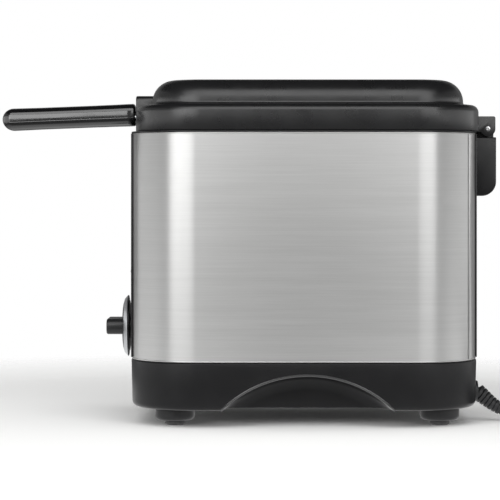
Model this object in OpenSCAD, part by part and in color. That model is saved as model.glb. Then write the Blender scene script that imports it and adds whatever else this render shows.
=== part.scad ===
// Compact household deep fryer with a hinged lid, a lift-out basket and a turning thermostat knob.
// Millimetres, +Z up, floor at z = 0, front (handle and knob) towards -Y.
// The origin is the centre of the overall footprint, so the body stands body_y behind it.

/* [Body] */
// Overall width of the base across X
body_w = 190; // [188:1:194]
// Front of the base along Y, before the bow, measured from the body's middle
body_front = -122.5; // [-124:0.5:-121]
// Rear of the base along Y, measured from the body's middle
body_rear = 124.5; // [123.5:0.1:124.5]
// Plan radius of the body's corners
corner_r = 46; // [42:1:48]
// How far the front bulges between its corners
front_bow = 2; // [1.5:0.1:2]
// Height of the base's underside above the floor
base_z0 = 12.5; // [12.5:0.1:12.5]
// Height of the base's upper edge
base_z1 = 46; // [44:0.5:46]
// Height of the steel wrap's upper edge
wrap_z1 = 207.5; // [207:0.5:208]
// Thickness of the moulded walls
wall = 2.5; // [2.2:0.1:2.8]
// Thickness of the steel sheet
sheet_t = 0.8; // [0.6:0.1:0.8]

/* [Finger recesses] */
// Radius of the arch over each finger recess
recess_r = 83; // [80:1:86]
// Height of the top of the arch
recess_top = 37.4; // [35:0.1:38]
// Depth of the recess into the side
recess_depth = 26; // [22:1:28]

/* [Feet] */
// Diameter of the moulded foot cups
cup_d = 28; // [26:1:30]
// Diameter of the rubber pads
pad_d = 13.9; // [13:0.1:16]
// Height of the rubber that shows under a cup
pad_h = 3.7; // [3.2:0.1:4.4]

/* [Lid] */
// Height of the lid rim's lower edge
rim_z0 = 209.8; // [209.8:0.1:210]
// Height of the lid rim's shoulder
rim_z1 = 229.5; // [229:0.1:230]
// Height of the flat part of the dome
dome_z1 = 246.5; // [246:0.1:247]
// Rounding of the dome's edge
dome_round = 15.5; // [13:0.5:15.5]

/* [Hinge] */
// Distance of the hinge pin behind the body's middle
hinge_y = 135.2; // [135.2:0.1:135.4]
// Height of the hinge pin
hinge_z = 212.4; // [212.4:0.1:212.6]
// Diameter of the hinge pin
pin_d = 3.7; // [3.5:0.1:4]
// Half width of the hinge bracket
bracket_hw = 30; // [29:1:31]

/* [Knob] */
// Height of the thermostat shaft
knob_z = 67; // [66:0.5:68]
// Outer diameter of the knob's chrome ring
knob_d = 45.4; // [42:0.2:46]
// Length of the knob in front of the panel
knob_reach = 16.8; // [15:0.2:17]

/* [Basket] */
// Half width of the basket
basket_hw = 62; // [60:1:62]
// Front of the basket from the body's middle
basket_front = -86; // [-86:1:-85]
// Rear of the basket from the body's middle
basket_rear = 86; // [84:1:86]
// Height of the basket's floor
basket_z0 = 100; // [98:1:102]
// Height of the basket's rim wire
basket_z1 = 198; // [196:1:198]
// Spacing of the openings in the basket's walls
mesh_pitch = 11; // [10:1:14]

/* [Handle] */
// Length of the handle's grip
handle_l = 98.5; // [96:0.1:98.5]
// Width of the grip
handle_w = 28; // [26:1:30]
// Thickness of the grip
handle_t = 16.5; // [16:0.5:17]
// Angle by which the handle droops
handle_droop = 2.25; // [2:0.05:2.5]

/* [Cord] */
// Diameter of the mains lead
cord_d = 7; // [6.6:0.1:7]
// Mean radius of the put-away coil
coil_r = 41; // [40:1:41]

/* [Hidden] */
$fn = 64;

// Where the body's middle stands in the part's frame.
body_y = 40;

// Steps of every plan corner, and of the bowed front between its corners.
arc_steps = 8;
mid_steps = 6;

// The steel stands this far inside the base, and the parts inside it keep behind its folded hem.
steel_in = 0.8;
hem_in = 2.5;
frame_z1 = wrap_z1 + 2;

// Bowl, its flange and what is under it.
opening_in = 14;
ledge_z = 206.7;
bowl_top = 208.4;
bowl_z0 = 90;
bowl_wall = 2.2;
shield_z = 71;
bolt_x = 50;
bolt_front = -62;
bolt_rear = 70;

// Lid outline.
lid_hw = 94.5;
lid_front = -119;
lid_rear = 126.2;
lid_r = 46;
dome_hw = 82.5;
dome_front = -107.8;
dome_rear = 116;
dome_r = 36;
lid_t = 2.2;
inner_z = 225.2;
skirt_in = 5.8;
skirt_z = 213;
shoulder_r = 5.5;

// Knob plane and panel face.
panel_y = body_front - front_bow - 0.4;
knob_back = panel_y - 2.6;
knob_face = knob_back - 5.5;
knob_front = panel_y - knob_reach - 2.6;
knob_disc_r = 18.8;

// Handle junction.
handle_y = -123.6;
handle_z = 223.5;
stem_x = 8;
stem_d = 4.5;

// Cord exit, and the coil that the lead runs into.
exit_x = 40;
exit_z = 22;
coil_y = 205;
coil_x = exit_x - coil_r - cord_d / 2;
tie_t = 0.8;
tie_w = 6;
tie_turn = 50;
lead_route = [[40, 143.4, 8.7], [40, 147.5, 6.6], [40, 152, 5], [40, 157, 4], [40, 163, 3.6],
    [40, 170, 3.6],
    [40, 178, 3.8], [40, 186, 4.1], [40, 192, 4.3]];
relief_route = [[40, 123, 23.4], [40, 126, 21.6], [40, 129.6, 18.8], [40, 133.4, 15.6], [40, 137.6, 12.4],
    [40, 143.4, 8.7]];
tail_route = [[-20, 243.3, 10.6], [-28.6, 241, 11.3], [-37.3, 238.6, 11.4], [-46, 236.3, 10.6],
    [-54.7, 234, 8.2],
    [-63.4, 231.7, 5.6], [-72.1, 229.3, 4.3], [-80.8, 227, 5.2]];
plug_at = [-80.8, 227, 5.2];
plug_turn = 15;
plug_tilt = 19;

// ---- outlines and skins ----

function arc(cx, cy, r, from, n = arc_steps) =
    [for (i = [0:n]) let(a = from + 90 * i / n) [cx + r * cos(a), cy + r * sin(a)]];

function bowed(pts, hw, mid, bow) =
    [for (p = pts) [p[0], p[1] < mid ? p[1] - bow * (1 - pow(p[0] / hw, 2)) : p[1]]];

// A rounded rectangle whose front edge bulges by bow, counter-clockwise from the rear right corner.
function outline(hw, y0, y1, r, bow = 0) = let(x = hw - r) bowed(concat(
    arc(x, y1 - r, r, 0), arc(-x, y1 - r, r, 90), arc(-x, y0 + r, r, 180),
    [for (i = [1:mid_steps - 1]) [-x + 2 * x * i / mid_steps, y0]],
    arc(x, y0 + r, r, 270)), hw, (y0 + y1) / 2, bow);

function body_outline(inset) =
    outline(body_w / 2 - inset, body_front + inset, body_rear - inset, corner_r - inset, front_bow);

function lid_outline(inset) =
    outline(lid_hw - inset, lid_front + inset, lid_rear - inset, lid_r - inset, 1.5);

function dome_outline(inset) =
    outline(dome_hw - inset, dome_front + inset, dome_rear - inset, max(dome_r - inset, 3), 1);

function raised(pts, z) = [for (p = pts) [p[0], p[1], z]];

// A closed solid through rings of equally many points.
// It is capped at both ends unless the rings close on themselves.
module skin(rings, closed = false) {
    m = len(rings);
    n = len(rings[0]);
    sides = [for (i = [0:(closed ? m - 1 : m - 2)]) for (j = [0:n - 1])
        let(k = (j + 1) % n, u = (i + 1) % m) [u * n + j, u * n + k, i * n + k, i * n + j]];
    caps = closed ? [] : [[for (j = [0:n - 1]) j], [for (j = [n - 1:-1:0]) (m - 1) * n + j]];
    polyhedron(points = [for (r = rings) each r], faces = concat(sides, caps));
}

function unit(v) = v / norm(v);

function along(p, i, closed) = let(n = len(p)) closed
    ? unit(p[(i + 1) % n] - p[(i + n - 1) % n])
    : unit(p[min(i + 1, n - 1)] - p[max(i - 1, 0)]);

// A tube swept along a path; size is one radius or one for each point.
module tube(path, size, up = [0, 0, 1], sides = 8, closed = false) {
    skin([for (i = [0:len(path) - 1])
        let(t = along(path, i, closed), a = unit(cross(up, t)), b = cross(t, a),
            r = is_list(size) ? size[i] : size)
        [for (k = [0:sides - 1]) path[i] + r * (cos(360 * k / sides) * a + sin(360 * k / sides) * b)]],
            closed);
}

module plate(pts, z, h) {
    translate([0, 0, z]) linear_extrude(h) polygon(pts);
}

module band(outer, inner, z, h) {
    translate([0, 0, z]) linear_extrude(h) difference() {
        polygon(outer);
        polygon(inner);
    }
}

module at_body() {
    translate([0, body_y, 0]) children();
}

module rod_x(x0, x1, y, z, r) {
    translate([x0, y, z]) rotate([0, 90, 0]) cylinder(r = r, h = x1 - x0);
}

module rod_y(x, y0, y1, z, r) {
    translate([x, y0, z]) rotate([-90, 0, 0]) cylinder(r = r, h = y1 - y0);
}

module box(x0, x1, y0, y1, z0, z1) {
    translate([x0, y0, z0]) cube([x1 - x0, y1 - y0, z1 - z0]);
}

function bolt_places() = [for (x = [-bolt_x, bolt_x]) for (y = [bolt_front, bolt_rear]) [x, y]];
function foot_places() = [for (x = [-63, 63]) for (y = [-92, 97]) [x, y]];

// ---- base and feet ----

edge_r = 4;
function base_rings() = concat(
    [for (a = [0:22.5:90]) raised(body_outline(0.7 + edge_r * (1 - sin(a))),
        base_z0 + edge_r * (1 - cos(a)))],
    [raised(body_outline(0), base_z1 - 1), raised(body_outline(0.8), base_z1)]);

// The arch of a finger recess as a cone along X, grown all round by extra.
module recess(side, extra) {
    inner = body_w / 2 - recess_depth - extra;
    outer = body_w / 2 + 2;
    translate([side * inner, 2, recess_top - recess_r])
        rotate([0, side * 90, 0])
            cylinder(r1 = recess_r - 10 + extra, r2 = recess_r + extra, h = outer - inner, $fn = 96);
}

module base() {
    color("#2b2b2c") at_body() {
        difference() {
            union() {
                difference() {
                    skin(base_rings());
                    difference() {
                        plate(body_outline(wall + 1), base_z0 + 3, 60);
                        recess(1, wall);
                        recess(-1, wall);
                    }
                }
                band(body_outline(hem_in), body_outline(5), base_z1 - 8, 14);
                for (p = bolt_places()) translate([p[0], p[1], base_z0 + 1])
                    cylinder(r = 5.5, h = shield_z - base_z0 - 1);
            }
            for (s = [-1, 1]) recess(s, 0);
            for (p = bolt_places()) translate([p[0], p[1], 0]) {
                cylinder(r = 2.2, h = 100);
                cylinder(r = 4.3, h = 17);
            }
            for (p = foot_places()) translate([p[0], p[1], 0]) cylinder(r = 1.9, h = 20);
            rod_y(exit_x, 110, 130, exit_z, 5.6);
            for (i = [-3:3]) box(i * 9 - 1.8, i * 9 + 1.8, -30, 30, base_z0 - 1, base_z0 + 4);
        }
    }
}

module foot_cups() {
    color("#1c1c1d") at_body() for (p = foot_places()) translate([p[0], p[1], 0]) difference() {
        rotate_extrude() polygon(concat([[0, base_z0], [0, pad_h]],
            [for (a = [0:15:90]) [cup_d / 2 - 3 + 3 * sin(a), pad_h + 3 - 3 * cos(a)]],
                [[cup_d / 2, base_z0]]));
        cylinder(r = 4, h = pad_h + 3);
        cylinder(r = 1.75, h = base_z0 + 1);
    }
}

module foot_pads() {
    color("#3a3a3a") at_body() for (p = foot_places()) translate([p[0], p[1], 0]) {
        rotate_extrude() polygon([[0, 0], [pad_d / 2 - 1, 0], [pad_d / 2, 1], [pad_d / 2, pad_h],
            [4, pad_h],
            [4, pad_h + 3], [0, pad_h + 3]]);
    }
}

module foot_screws() {
    color("silver") at_body() for (p = foot_places()) translate([p[0], p[1], 0]) {
        translate([0, 0, base_z0 + 3]) cylinder(r = 3.5, h = 2.2);
        translate([0, 0, pad_h + 3.2]) cylinder(r = 1.75, h = base_z0 - pad_h);
    }
}

// ---- outer skins ----

seam_y = 116.6;
bracket_screw_z = [176, 194];
panel_hw = 58;

// The sheet with a folded hem along its two edges.
module steel_ring() {
    band(body_outline(steel_in), body_outline(steel_in + sheet_t), base_z1, wrap_z1 - base_z1);
    for (z = [base_z1, wrap_z1 - 3]) band(body_outline(steel_in), body_outline(hem_in), z, 3);
}

module steel_wrap() {
    color("#b9babb") at_body() difference() {
        steel_ring();
        box(-100, 100, seam_y - 0.4, 140, 0, 300);
        rod_y(0, -130, -110, knob_z, 8);
        for (x = [-18, 18]) rod_y(x, -130, -110, lamp_z, 3.4);
        for (x = [-36, 36]) for (z = [62, 192]) rod_y(x, -130, -110, z, 1.7);
    }
}

module rear_skin() {
    color("#b4b5b6") at_body() difference() {
        intersection() {
            steel_ring();
            box(-100, 100, seam_y, 140, 0, 300);
        }
        for (x = [-1, 1] * bracket_screw_x) for (z = bracket_screw_z) rod_y(x, 110, 140, z, 2.2);
    }
}

lamp_z = 108;
module front_panel() {
    color("#232324") at_body() difference() {
        union() {
            intersection() {
                band(outline(body_w / 2, body_front - 0.4, body_rear, corner_r, front_bow),
                    body_outline(steel_in),
                    base_z1 + 1.5, wrap_z1 - base_z1 - 2);
                box(-panel_hw, panel_hw, -140, 0, 0, 300);
            }
            rod_y(0, panel_y - 2.3, panel_y + 0.6, knob_z, 10);
            for (x = [-36, 36]) for (z = [62, 192]) rod_y(x, -123.4, -119.5, z, 1.5);
        }
        rod_y(0, -140, -100, knob_z, 3.6);
        for (x = [-18, 18]) rod_y(x, -130, -110, lamp_z, 3);
    }
}

module rear_panel() {
    color("#232324") at_body() difference() {
        intersection() {
            band(body_outline(-0.4), body_outline(steel_in), base_z1 + 1.5, wrap_z1 - base_z1 - 2);
            box(-panel_hw, panel_hw, 0, 140, 0, 300);
        }
        for (x = [-1, 1] * bracket_screw_x) for (z = bracket_screw_z) rod_y(x, 110, 140, z, 2.2);
    }
}

module top_frame() {
    color("#1f1f20") at_body() {
        band(body_outline(0), body_outline(opening_in), wrap_z1, frame_z1 - wrap_z1);
        band(body_outline(hem_in), body_outline(5), wrap_z1 - 8, 8.5);
        band(body_outline(opening_in - 2.2), body_outline(opening_in), ledge_z - 2.2, 3);
        band(body_outline(opening_in - 2.2), body_outline(20), ledge_z - 2.2, 2.2);
    }
}

// ---- bowl, element and heat shield ----

bowl_in = 20.2;
function bowl_outline(inset) =
    outline(body_w / 2 - bowl_in - inset, body_front + bowl_in + inset, body_rear - bowl_in - inset,
        max(28 - inset, 6), front_bow);

function bowl_rings() = let(b = bowl_wall, taper = 5, floor_r = 12) concat(
    [for (a = [0:30:90]) raised(bowl_outline(taper + floor_r * (1 - sin(a))),
        bowl_z0 + floor_r * (1 - cos(a)))],
    [raised(bowl_outline(0.3), ledge_z), raised(bowl_outline(-5.8), ledge_z),
        raised(bowl_outline(-5.8), bowl_top),
        raised(bowl_outline(b), bowl_top)],
    [for (a = [90:-30:0]) raised(bowl_outline(taper + b + (floor_r - b) * (1 - sin(a))),
        bowl_z0 + b + (floor_r - b) * (1 - cos(a)))]);

module bowl() {
    color("#3a3b3d") at_body() difference() {
        union() {
            skin(bowl_rings());
            for (p = bolt_places()) translate([p[0], p[1], shield_z + 0.8])
                cylinder(r = 6, h = bowl_z0 - shield_z);
        }
        for (p = bolt_places()) translate([p[0], p[1], 60]) cylinder(r = 2, h = 28.5);
    }
}

plate_t = 4;
element_z = bowl_z0 - plate_t - 3.25;
module element_plate() {
    color("#c2c4c6") at_body() plate(outline(42.5, -64, 72, 26), bowl_z0 - plate_t, plate_t);
}

// The element's heated loop with its two cold ends towards the rear.
element_loop = concat(
    [[-12, 96, element_z], [-12, 84, element_z], [-13, 76, element_z], [-17, 68, element_z],
        [-24, 61, element_z]],
    [for (a = [120:20:180]) [-20 + 16 * cos(a), 40 + 20 * sin(a), element_z]],
    [for (a = [180:20:360]) [36 * cos(a), -20 + 34 * sin(a), element_z]],
    [for (a = [0:20:60]) [20 + 16 * cos(a), 40 + 20 * sin(a), element_z]],
    [[24, 61, element_z], [17, 68, element_z], [13, 76, element_z], [12, 84, element_z],
        [12, 96, element_z]]);

module heating_element() {
    color("#6f6a64") at_body() {
        tube(element_loop, 3.2);
        for (x = [-12, 12]) {
            rod_y(x, 95, 99, element_z, 3.9);
            rod_y(x, 99, 106, element_z, 1.2);
        }
    }
}
module heat_shield() {
    color("#a9abad") at_body() difference() {
        union() {
            plate(outline(68, -88, 92, 30), shield_z, 0.8);
            band(outline(68, -88, 92, 30), outline(67.2, -87.2, 91.2, 29.2), shield_z, 14);
        }
        for (p = bolt_places()) translate([p[0], p[1], 0]) cylinder(r = 2.3, h = 100);
        box(4, 26, -92, -80, shield_z + 0.8, 100);
        box(-9, 9, 8, 20, 60, 100);
        box(-17, 17, 86, 96, element_z - 5, 100);
    }
}

module tie_bolts() {
    color("silver") at_body() for (p = bolt_places()) translate([p[0], p[1], 0]) {
        translate([0, 0, base_z0 + 0.7]) cylinder(r = 4, h = 17 - base_z0 - 0.7);
        translate([0, 0, base_z0 + 2]) cylinder(r = 2, h = 88 - base_z0 - 2);
    }
}

// ---- controls ----

shaft_r = 3;
module thermostat() {
    color("#d8d2c4") at_body() difference() {
        union() {
            box(-17, 17, -116, -96, knob_z - 15, knob_z + 13);
            rod_y(0, -120.6, -115, knob_z, 5);
            for (x = [-10, 0, 10]) box(x - 3, x + 3, -96.2, -89, knob_z - 12, knob_z - 11.2);
        }
        rod_y(0, -125, -104, knob_z, shaft_r + 0.05);
    }
}

module thermostat_bracket() {
    color("#aaacae") at_body() difference() {
        union() {
            box(-24, 24, -117.4, -116, base_z0 + 3, knob_z + 17);
            box(-24, 24, -117.4, -104, base_z0 + 3, base_z0 + 4.4);
        }
        rod_y(0, -130, -110, knob_z, 5.2);
    }
}

module sensor_bulb() {
    color("#b87a4b") at_body() {
        rod_y(18, -42, 12, element_z + 0.6, 2.4);
        tube([[18, -40, 83.3], [18, -44, 81], [18, -48, 77.5], [17.5, -54, 75.2], [16, -64, 74.8],
            [13, -78, 75],
            [9, -88, 74], [7, -93, 72], [6.5, -95.2, 71]], 0.9, sides = 6);
    }
}

module thermal_cutout() {
    color("#e6dfcf") at_body() {
        translate([0, 14, bowl_z0 - plate_t - 7]) cylinder(r = 8, h = 7);
        for (x = [-5, 5]) box(x - 1.5, x + 1.5, 13.6, 14.4, bowl_z0 - plate_t - 12,
            bowl_z0 - plate_t - 6.5);
    }
}

// A lamp's lens with its stem, flush with the panel.
module lamp(x) {
    translate([x, panel_y + 0.1, lamp_z]) rotate([-90, 0, 0]) {
        cylinder(r = 2.98, h = 9);
    }
}

module lamp_power() {
    color("#c8321e") at_body() lamp(-18);
}

module lamp_ready() {
    color("#3f9a45") at_body() lamp(18);
}

module lamp_holder() {
    color("#e8e4da") at_body() difference() {
        box(-26, 26, -121.4, -112, lamp_z - 6, lamp_z + 6);
        for (x = [-18, 18]) rod_y(x, -130, panel_y + 9.1, lamp_z, 3);
    }
}

module terminal_block() {
    color("#ece9e1") at_body() difference() {
        box(24, 54, 84, 98, base_z0 + 3, base_z0 + 16);
        for (x = [31, 39, 47]) rod_y(x, 80, 102, base_z0 + 8, 1.6);
    }
}

module cord_clamp() {
    color("#1f1f20") at_body() difference() {
        box(33, 47, 101, 109, base_z0 + 3, exit_z + 7);
        rod_y(exit_x, 100, 112, exit_z, cord_d / 2);
    }
}

// The internal leads: the cord's inner end, and the wires to the thermostat, element, cut-out and lamps.
module wiring() {
    color("#5a4638") at_body() {
        rod_y(exit_x, 99, 113, exit_z, cord_d / 2);
        tube([[39, 84, 20.5], [39, 76, 20.5], [32, 60, 21], [24, 30, 21], [20, -20, 22], [14, -60, 26],
            [10, -78, 38],
            [10, -83, 49], [10, -86, 55.4], [10, -89, 55.4]], 1.1, up = [1, 0, 0], sides = 6);
        tube([[31, 84, 20.5], [31, 76, 20.5], [20, 62, 24], [8, 40, 40], [5, 24, 58], [5, 15, 68],
            [5, 14, 73.9]], 1.1,
            up = [1, 0, 0], sides = 6);
        tube([[-5, 14, 73.9], [-5, 13, 68], [-6, -10, 50], [-8, -50, 40], [-10, -74, 44], [-10, -83, 51],
            [-10, -86, 55.4], [-10, -89, 55.4]], 1.1, up = [1, 0, 0], sides = 6);
        tube([[12, 106, 82], [12, 109, 82], [16, 111.5, 74], [28, 112, 56], [48, 111, 38], [50, 108, 26],
            [50, 103, 20.5], [50, 98, 20.5]], 1.1, up = [1, 0, 0], sides = 6);
        tube([[-12, 106, 82], [-12, 109, 82], [-16, 110, 70], [-30, 100, 45], [-32, 60, 30], [-26, 0, 28],
            [-14, -60, 32],
            [-2, -82, 48], [0, -86, 55.4], [0, -89, 55.4]], 1.1, up = [1, 0, 0], sides = 6);
        for (s = [-1, 1]) tube([[s * 18, -111.4, lamp_z], [s * 18, -108, lamp_z - 3],
            [s * 21, -105, lamp_z - 14],
            [s * 22, -101, lamp_z - 28], [s * 21, -94, 72], [s * 15, -91, 62], [s * 10, -90.5, 57.1]],
                0.8,
            up = [1, 0, 0], sides = 6);
    }
}

// ---- hinge ----

barrel_r = 5.2;
bracket_top = hinge_z - 6.2;
bracket_rear = 142;
bracket_h = 42.9;
bracket_round = 9;
bracket_screw_x = 18;
barrel_hw = 20.4;
pin_hw = 30.6;
knuckle_x = [21, 30];
knuckle_r = 5.6;
knuckle_top = 221.5;

module yz(x0, x1) {
    translate([x0, 0, 0]) rotate([90, 0, 90]) linear_extrude(x1 - x0) children();
}

module bracket_side(inset) {
    y0 = body_rear + 0.4;
    z0 = bracket_top - bracket_h + inset;
    y1 = bracket_rear - inset;
    polygon(concat([[y0, bracket_top - inset], [y0, z0]],
        [for (a = [-90:15:0]) let(r = bracket_round - inset) [y1 - r + r * cos(a), z0 + r + r * sin(a)]],
        [[y1 - 1, bracket_top - inset]]));
}

module hinge_bracket() {
    color("#262627") at_body() difference() {
        union() {
            difference() {
                yz(-bracket_hw, bracket_hw) bracket_side(0);
                yz(-bracket_hw + 2.5, bracket_hw - 2.5) bracket_side(2.5);
            }
            for (x = [-1, 1] * bracket_screw_x) for (z = bracket_screw_z)
                rod_y(x, body_rear + 0.4, bracket_rear - 1, z, 4.5);
            yz(-barrel_hw, barrel_hw) {
                translate([hinge_y, hinge_z]) circle(r = barrel_r);
                translate([hinge_y - 3.4, bracket_top - 2]) square([6.8, 7]);
            }
        }
        rod_x(-40, 40, hinge_y, hinge_z, pin_d / 2);
        for (x = [-1, 1] * bracket_screw_x) for (z = bracket_screw_z) {
            rod_y(x, 120, 150, z, 2);
            rod_y(x, bracket_rear - 6, 150, z, 3.9);
        }
    }
}

module bracket_screws() {
    color("silver") at_body() for (x = [-1, 1] * bracket_screw_x) for (z = bracket_screw_z) {
        rod_y(x, 119, bracket_rear - 5, z, 2);
        rod_y(x, bracket_rear - 6, bracket_rear - 3.6, z, 3.6);
        rod_y(x, 120.4, 122.9, z, 3.6);
    }
}

module hinge_pin() {
    color("#cfd0d2") at_body() difference() {
        rod_x(-pin_hw, pin_hw, hinge_y, hinge_z, pin_d / 2);
        for (x = [-31, 30]) rod_x(x, x + 1, hinge_y, hinge_z, 0.7);
    }
}

// ---- lid ----

hood_hw = 17;
notch_hw = 13.5;
hood_front = -122.5;
hood_rear = -106.5;
hood_top = 236.4;
notch_top = 226.5;
window = [42, -62, 22];
vent = [36, 44, 78];

function lid_rings() = let(t = lid_t, d = dome_round, flat = dome_z1 - d, crown = 0.9) concat(
    [raised(dome_outline(52), dome_z1 - t + crown), raised(dome_outline(34), dome_z1 - t + crown * 0.8)],
    [for (a = [90:-18:0]) raised(dome_outline(t + (d - t) * (1 - cos(a))), flat + (d - t) * sin(a))],
    [raised(dome_outline(t), rim_z1 - t)],
    [for (a = [90:-30:0]) raised(lid_outline(t + (shoulder_r - t) * (1 - cos(a))),
        rim_z1 - shoulder_r + (shoulder_r - t) * sin(a))],
    [raised(lid_outline(t), rim_z0), raised(lid_outline(0.3), rim_z0),
        raised(lid_outline(0), rim_z0 + 0.6)],
    [for (a = [0:22.5:90]) raised(lid_outline(shoulder_r * (1 - cos(a))),
        rim_z1 - shoulder_r + shoulder_r * sin(a))],
    [raised(dome_outline(0), rim_z1)],
    [for (a = [0:15:90]) raised(dome_outline(d * (1 - cos(a))), flat + d * sin(a))],
    [raised(dome_outline(34), dome_z1 + crown * 0.8), raised(dome_outline(52), dome_z1 + crown)]);

module pill(hw, y0, y1, r) {
    polygon(outline(hw, y0, y1, r));
}

// The hood in the rim that the basket's stem passes under.
module hood() {
    r = 4;
    difference() {
        translate([0, hood_rear, 0]) rotate([90, 0, 0]) linear_extrude(hood_rear - hood_front)
            polygon(concat([[-hood_hw, rim_z0], [hood_hw, rim_z0]],
                arc(hood_hw - r, hood_top - r, r, 0), arc(r - hood_hw, hood_top - r, r, 90)));
        box(-hood_hw - 1, hood_hw + 1, lid_front + 0.9, hood_rear + 1, rim_z0 - 1, notch_top);
    }
}

module knuckle_side() {
    translate([hinge_y, hinge_z]) circle(r = knuckle_r);
    polygon(concat([[lid_rear - 1.6, rim_z0], [hinge_y, rim_z0], [hinge_y + knuckle_r, hinge_z]],
        arc(hinge_y + knuckle_r - 3, knuckle_top - 3, 3, 0), [[lid_rear - 1.6, knuckle_top]]));
}

lid_screw_places = [[-62, -78], [62, -78], [-62, 90], [62, 90]];

module lid_shell() {
    color("#202021") at_body() difference() {
        union() {
            skin(lid_rings());
            hood();
            for (s = [0, 1]) mirror([s, 0, 0]) yz(knuckle_x[0], knuckle_x[1]) knuckle_side();
            for (p = lid_screw_places) translate([p[0], p[1], inner_z + sheet_t]) cylinder(r = 4, h = 19);
        }
        box(-notch_hw, notch_hw, -130, -104, 200, notch_top);
        rod_x(-40, 40, hinge_y, hinge_z, pin_d / 2 + 0.05);
        translate([0, 0, 235]) linear_extrude(30) pill(window[0], window[1], window[2], 14);
        translate([0, 0, 235]) linear_extrude(30) pill(vent[0], vent[1], vent[2], 6);
        for (p = lid_screw_places) translate([p[0], p[1], 220]) cylinder(r = 1.5, h = 16);
    }
}

module lid_inner() {
    color("#c3c5c7") at_body() difference() {
        union() {
            plate(lid_outline(skirt_in), inner_z, sheet_t);
            band(lid_outline(skirt_in), lid_outline(skirt_in + sheet_t), skirt_z,
                inner_z + 0.4 - skirt_z);
        }
        box(-notch_hw, notch_hw, -130, -100, 200, inner_z);
        translate([0, 0, 200]) linear_extrude(60) pill(window[0] - 3, window[1] + 3, window[2] - 3, 11);
        for (i = [-4:4]) for (j = [0:3]) translate([i * 7, vent[1] + 6.5 + j * 7, 200])
            cylinder(r = 2, h = 60);
        for (p = lid_screw_places) translate([p[0], p[1], 220]) cylinder(r = 1.6, h = 16);
    }
}

module lid_seal() {
    color("#8d8f90") at_body() difference() {
        band(lid_outline(5), lid_outline(7.5), rim_z0, 5);
        band(lid_outline(skirt_in), lid_outline(skirt_in + sheet_t), skirt_z, 5);
        box(-notch_hw, notch_hw, -130, -100, 200, 240);
    }
}

module lid_filter() {
    color("#8b9095") at_body() translate([0, 0, inner_z + sheet_t]) linear_extrude(14)
        pill(vent[0] - 1.5, vent[1] + 1.5, vent[2] - 1.5, 4.5);
}

grille_z = dome_z1 - 3;
slot_hw = 29;
module vent_grille() {
    color("#1d1d1e") at_body() difference() {
        union() {
            translate([0, 0, grille_z]) linear_extrude(3.9)
                pill(vent[0] - 0.1, vent[1] + 0.1, vent[2] - 0.1, 6);
            translate([0, 0, grille_z - 2.6]) linear_extrude(2.8) difference() {
                pill(vent[0] - 0.1, vent[1] + 0.1, vent[2] - 0.1, 6);
                pill(vent[0] - 1.5, vent[1] + 1.5, vent[2] - 1.5, 4.5);
            }
        }
        for (j = [0:4]) box(-slot_hw, slot_hw, vent[1] + 4.4 + j * 5.7, vent[1] + 7 + j * 5.7, 230, 260);
    }
}

module lid_window() {
    color([0.75, 0.8, 0.82, 0.4]) at_body() translate([0, 0, dome_z1 - 2.6]) linear_extrude(3.4)
        pill(window[0] - 0.1, window[1] + 0.1, window[2] - 0.1, 13.9);
}

module window_frame() {
    color("#2a2a2b") at_body() translate([0, 0, inner_z + sheet_t])
        linear_extrude(dome_z1 - 2.6 - inner_z - sheet_t)
        difference() {
            pill(window[0] - 0.1, window[1] + 0.1, window[2] - 0.1, 13.9);
            pill(window[0] - 2, window[1] + 2, window[2] - 2, 12);
        }
}

module lid_screws() {
    color("silver") at_body() for (p = lid_screw_places) translate([p[0], p[1], 0]) {
        translate([0, 0, inner_z - 1.8]) cylinder(r = 3.2, h = 1.8);
        translate([0, 0, inner_z - 1]) cylinder(r = 1.5, h = 11);
    }
}

// ---- knob ----

module knob() {
    color("#2c2c2d") at_body() difference() {
        union() {
            translate([0, 0, knob_z]) rotate([90, 0, 0]) rotate_extrude()
                polygon(concat([[0, -knob_back + 0.2]],
                [[knob_disc_r, -knob_back + 0.2]], [for (a = [0:15:90])
                    [knob_disc_r - 3 + 3 * cos(a), -knob_face - 1.5 + 1.5 * sin(a)]],
                [[0, -knob_face + 0.6]]));
            translate([0, knob_face + 1, knob_z]) rotate([90, 0, 0])
                linear_extrude(knob_face + 1 - knob_front)
                polygon(outline(18, -5.75, 5.75, 5));
        }
        rod_y(0, knob_back - 11, 0, knob_z, shaft_r);
    }
}

module knob_ring() {
    color("#dfe0e2") at_body() translate([0, 0, knob_z]) rotate([90, 0, 0]) rotate_extrude()
        polygon(concat([[knob_disc_r, -knob_back]], [[knob_d / 2 - 0.6, -knob_back]],
            [for (a = [0:15:90]) [knob_d / 2 - 2 + 2 * cos(a), -knob_face - 2 + 2 * sin(a)]],
            [[knob_disc_r, -knob_face - 0.8]]));
}

module thermostat_shaft() {
    color("#c9cacc") at_body() rod_y(0, knob_back - 11, -104.5, knob_z, shaft_r);
}

// ---- basket ----

bar = 2.2;
mesh_t = 1.6;

// A flat grid w wide and h high whose openings stand mesh_pitch apart.
module grid(w, h, lean = 0) {
    nx = floor(w / mesh_pitch);
    ny = floor(h / mesh_pitch);
    px = (w - bar) / nx;
    py = (h - bar) / ny;
    difference() {
        square([w, h]);
        for (i = [0:nx - 1]) for (j = [0:ny - 1]) translate([bar + i * px, bar + j * py])
            square([px - bar, py - bar]);
    }
}

chamfer = 18;
wall_h = basket_z1 - basket_z0 - 2;

module basket_bottom() {
    color("#c9ccce") at_body() translate([0, 0, basket_z0]) linear_extrude(mesh_t) intersection() {
        translate([-basket_hw, basket_front]) grid(2 * basket_hw, basket_rear - basket_front);
        polygon([[chamfer - basket_hw, basket_front], [basket_hw - chamfer, basket_front],
            [basket_hw, basket_front + chamfer], [basket_hw, basket_rear - chamfer],
            [basket_hw - chamfer, basket_rear], [chamfer - basket_hw, basket_rear],
            [-basket_hw, basket_rear - chamfer], [-basket_hw, basket_front + chamfer]]);
    }
}

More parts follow.
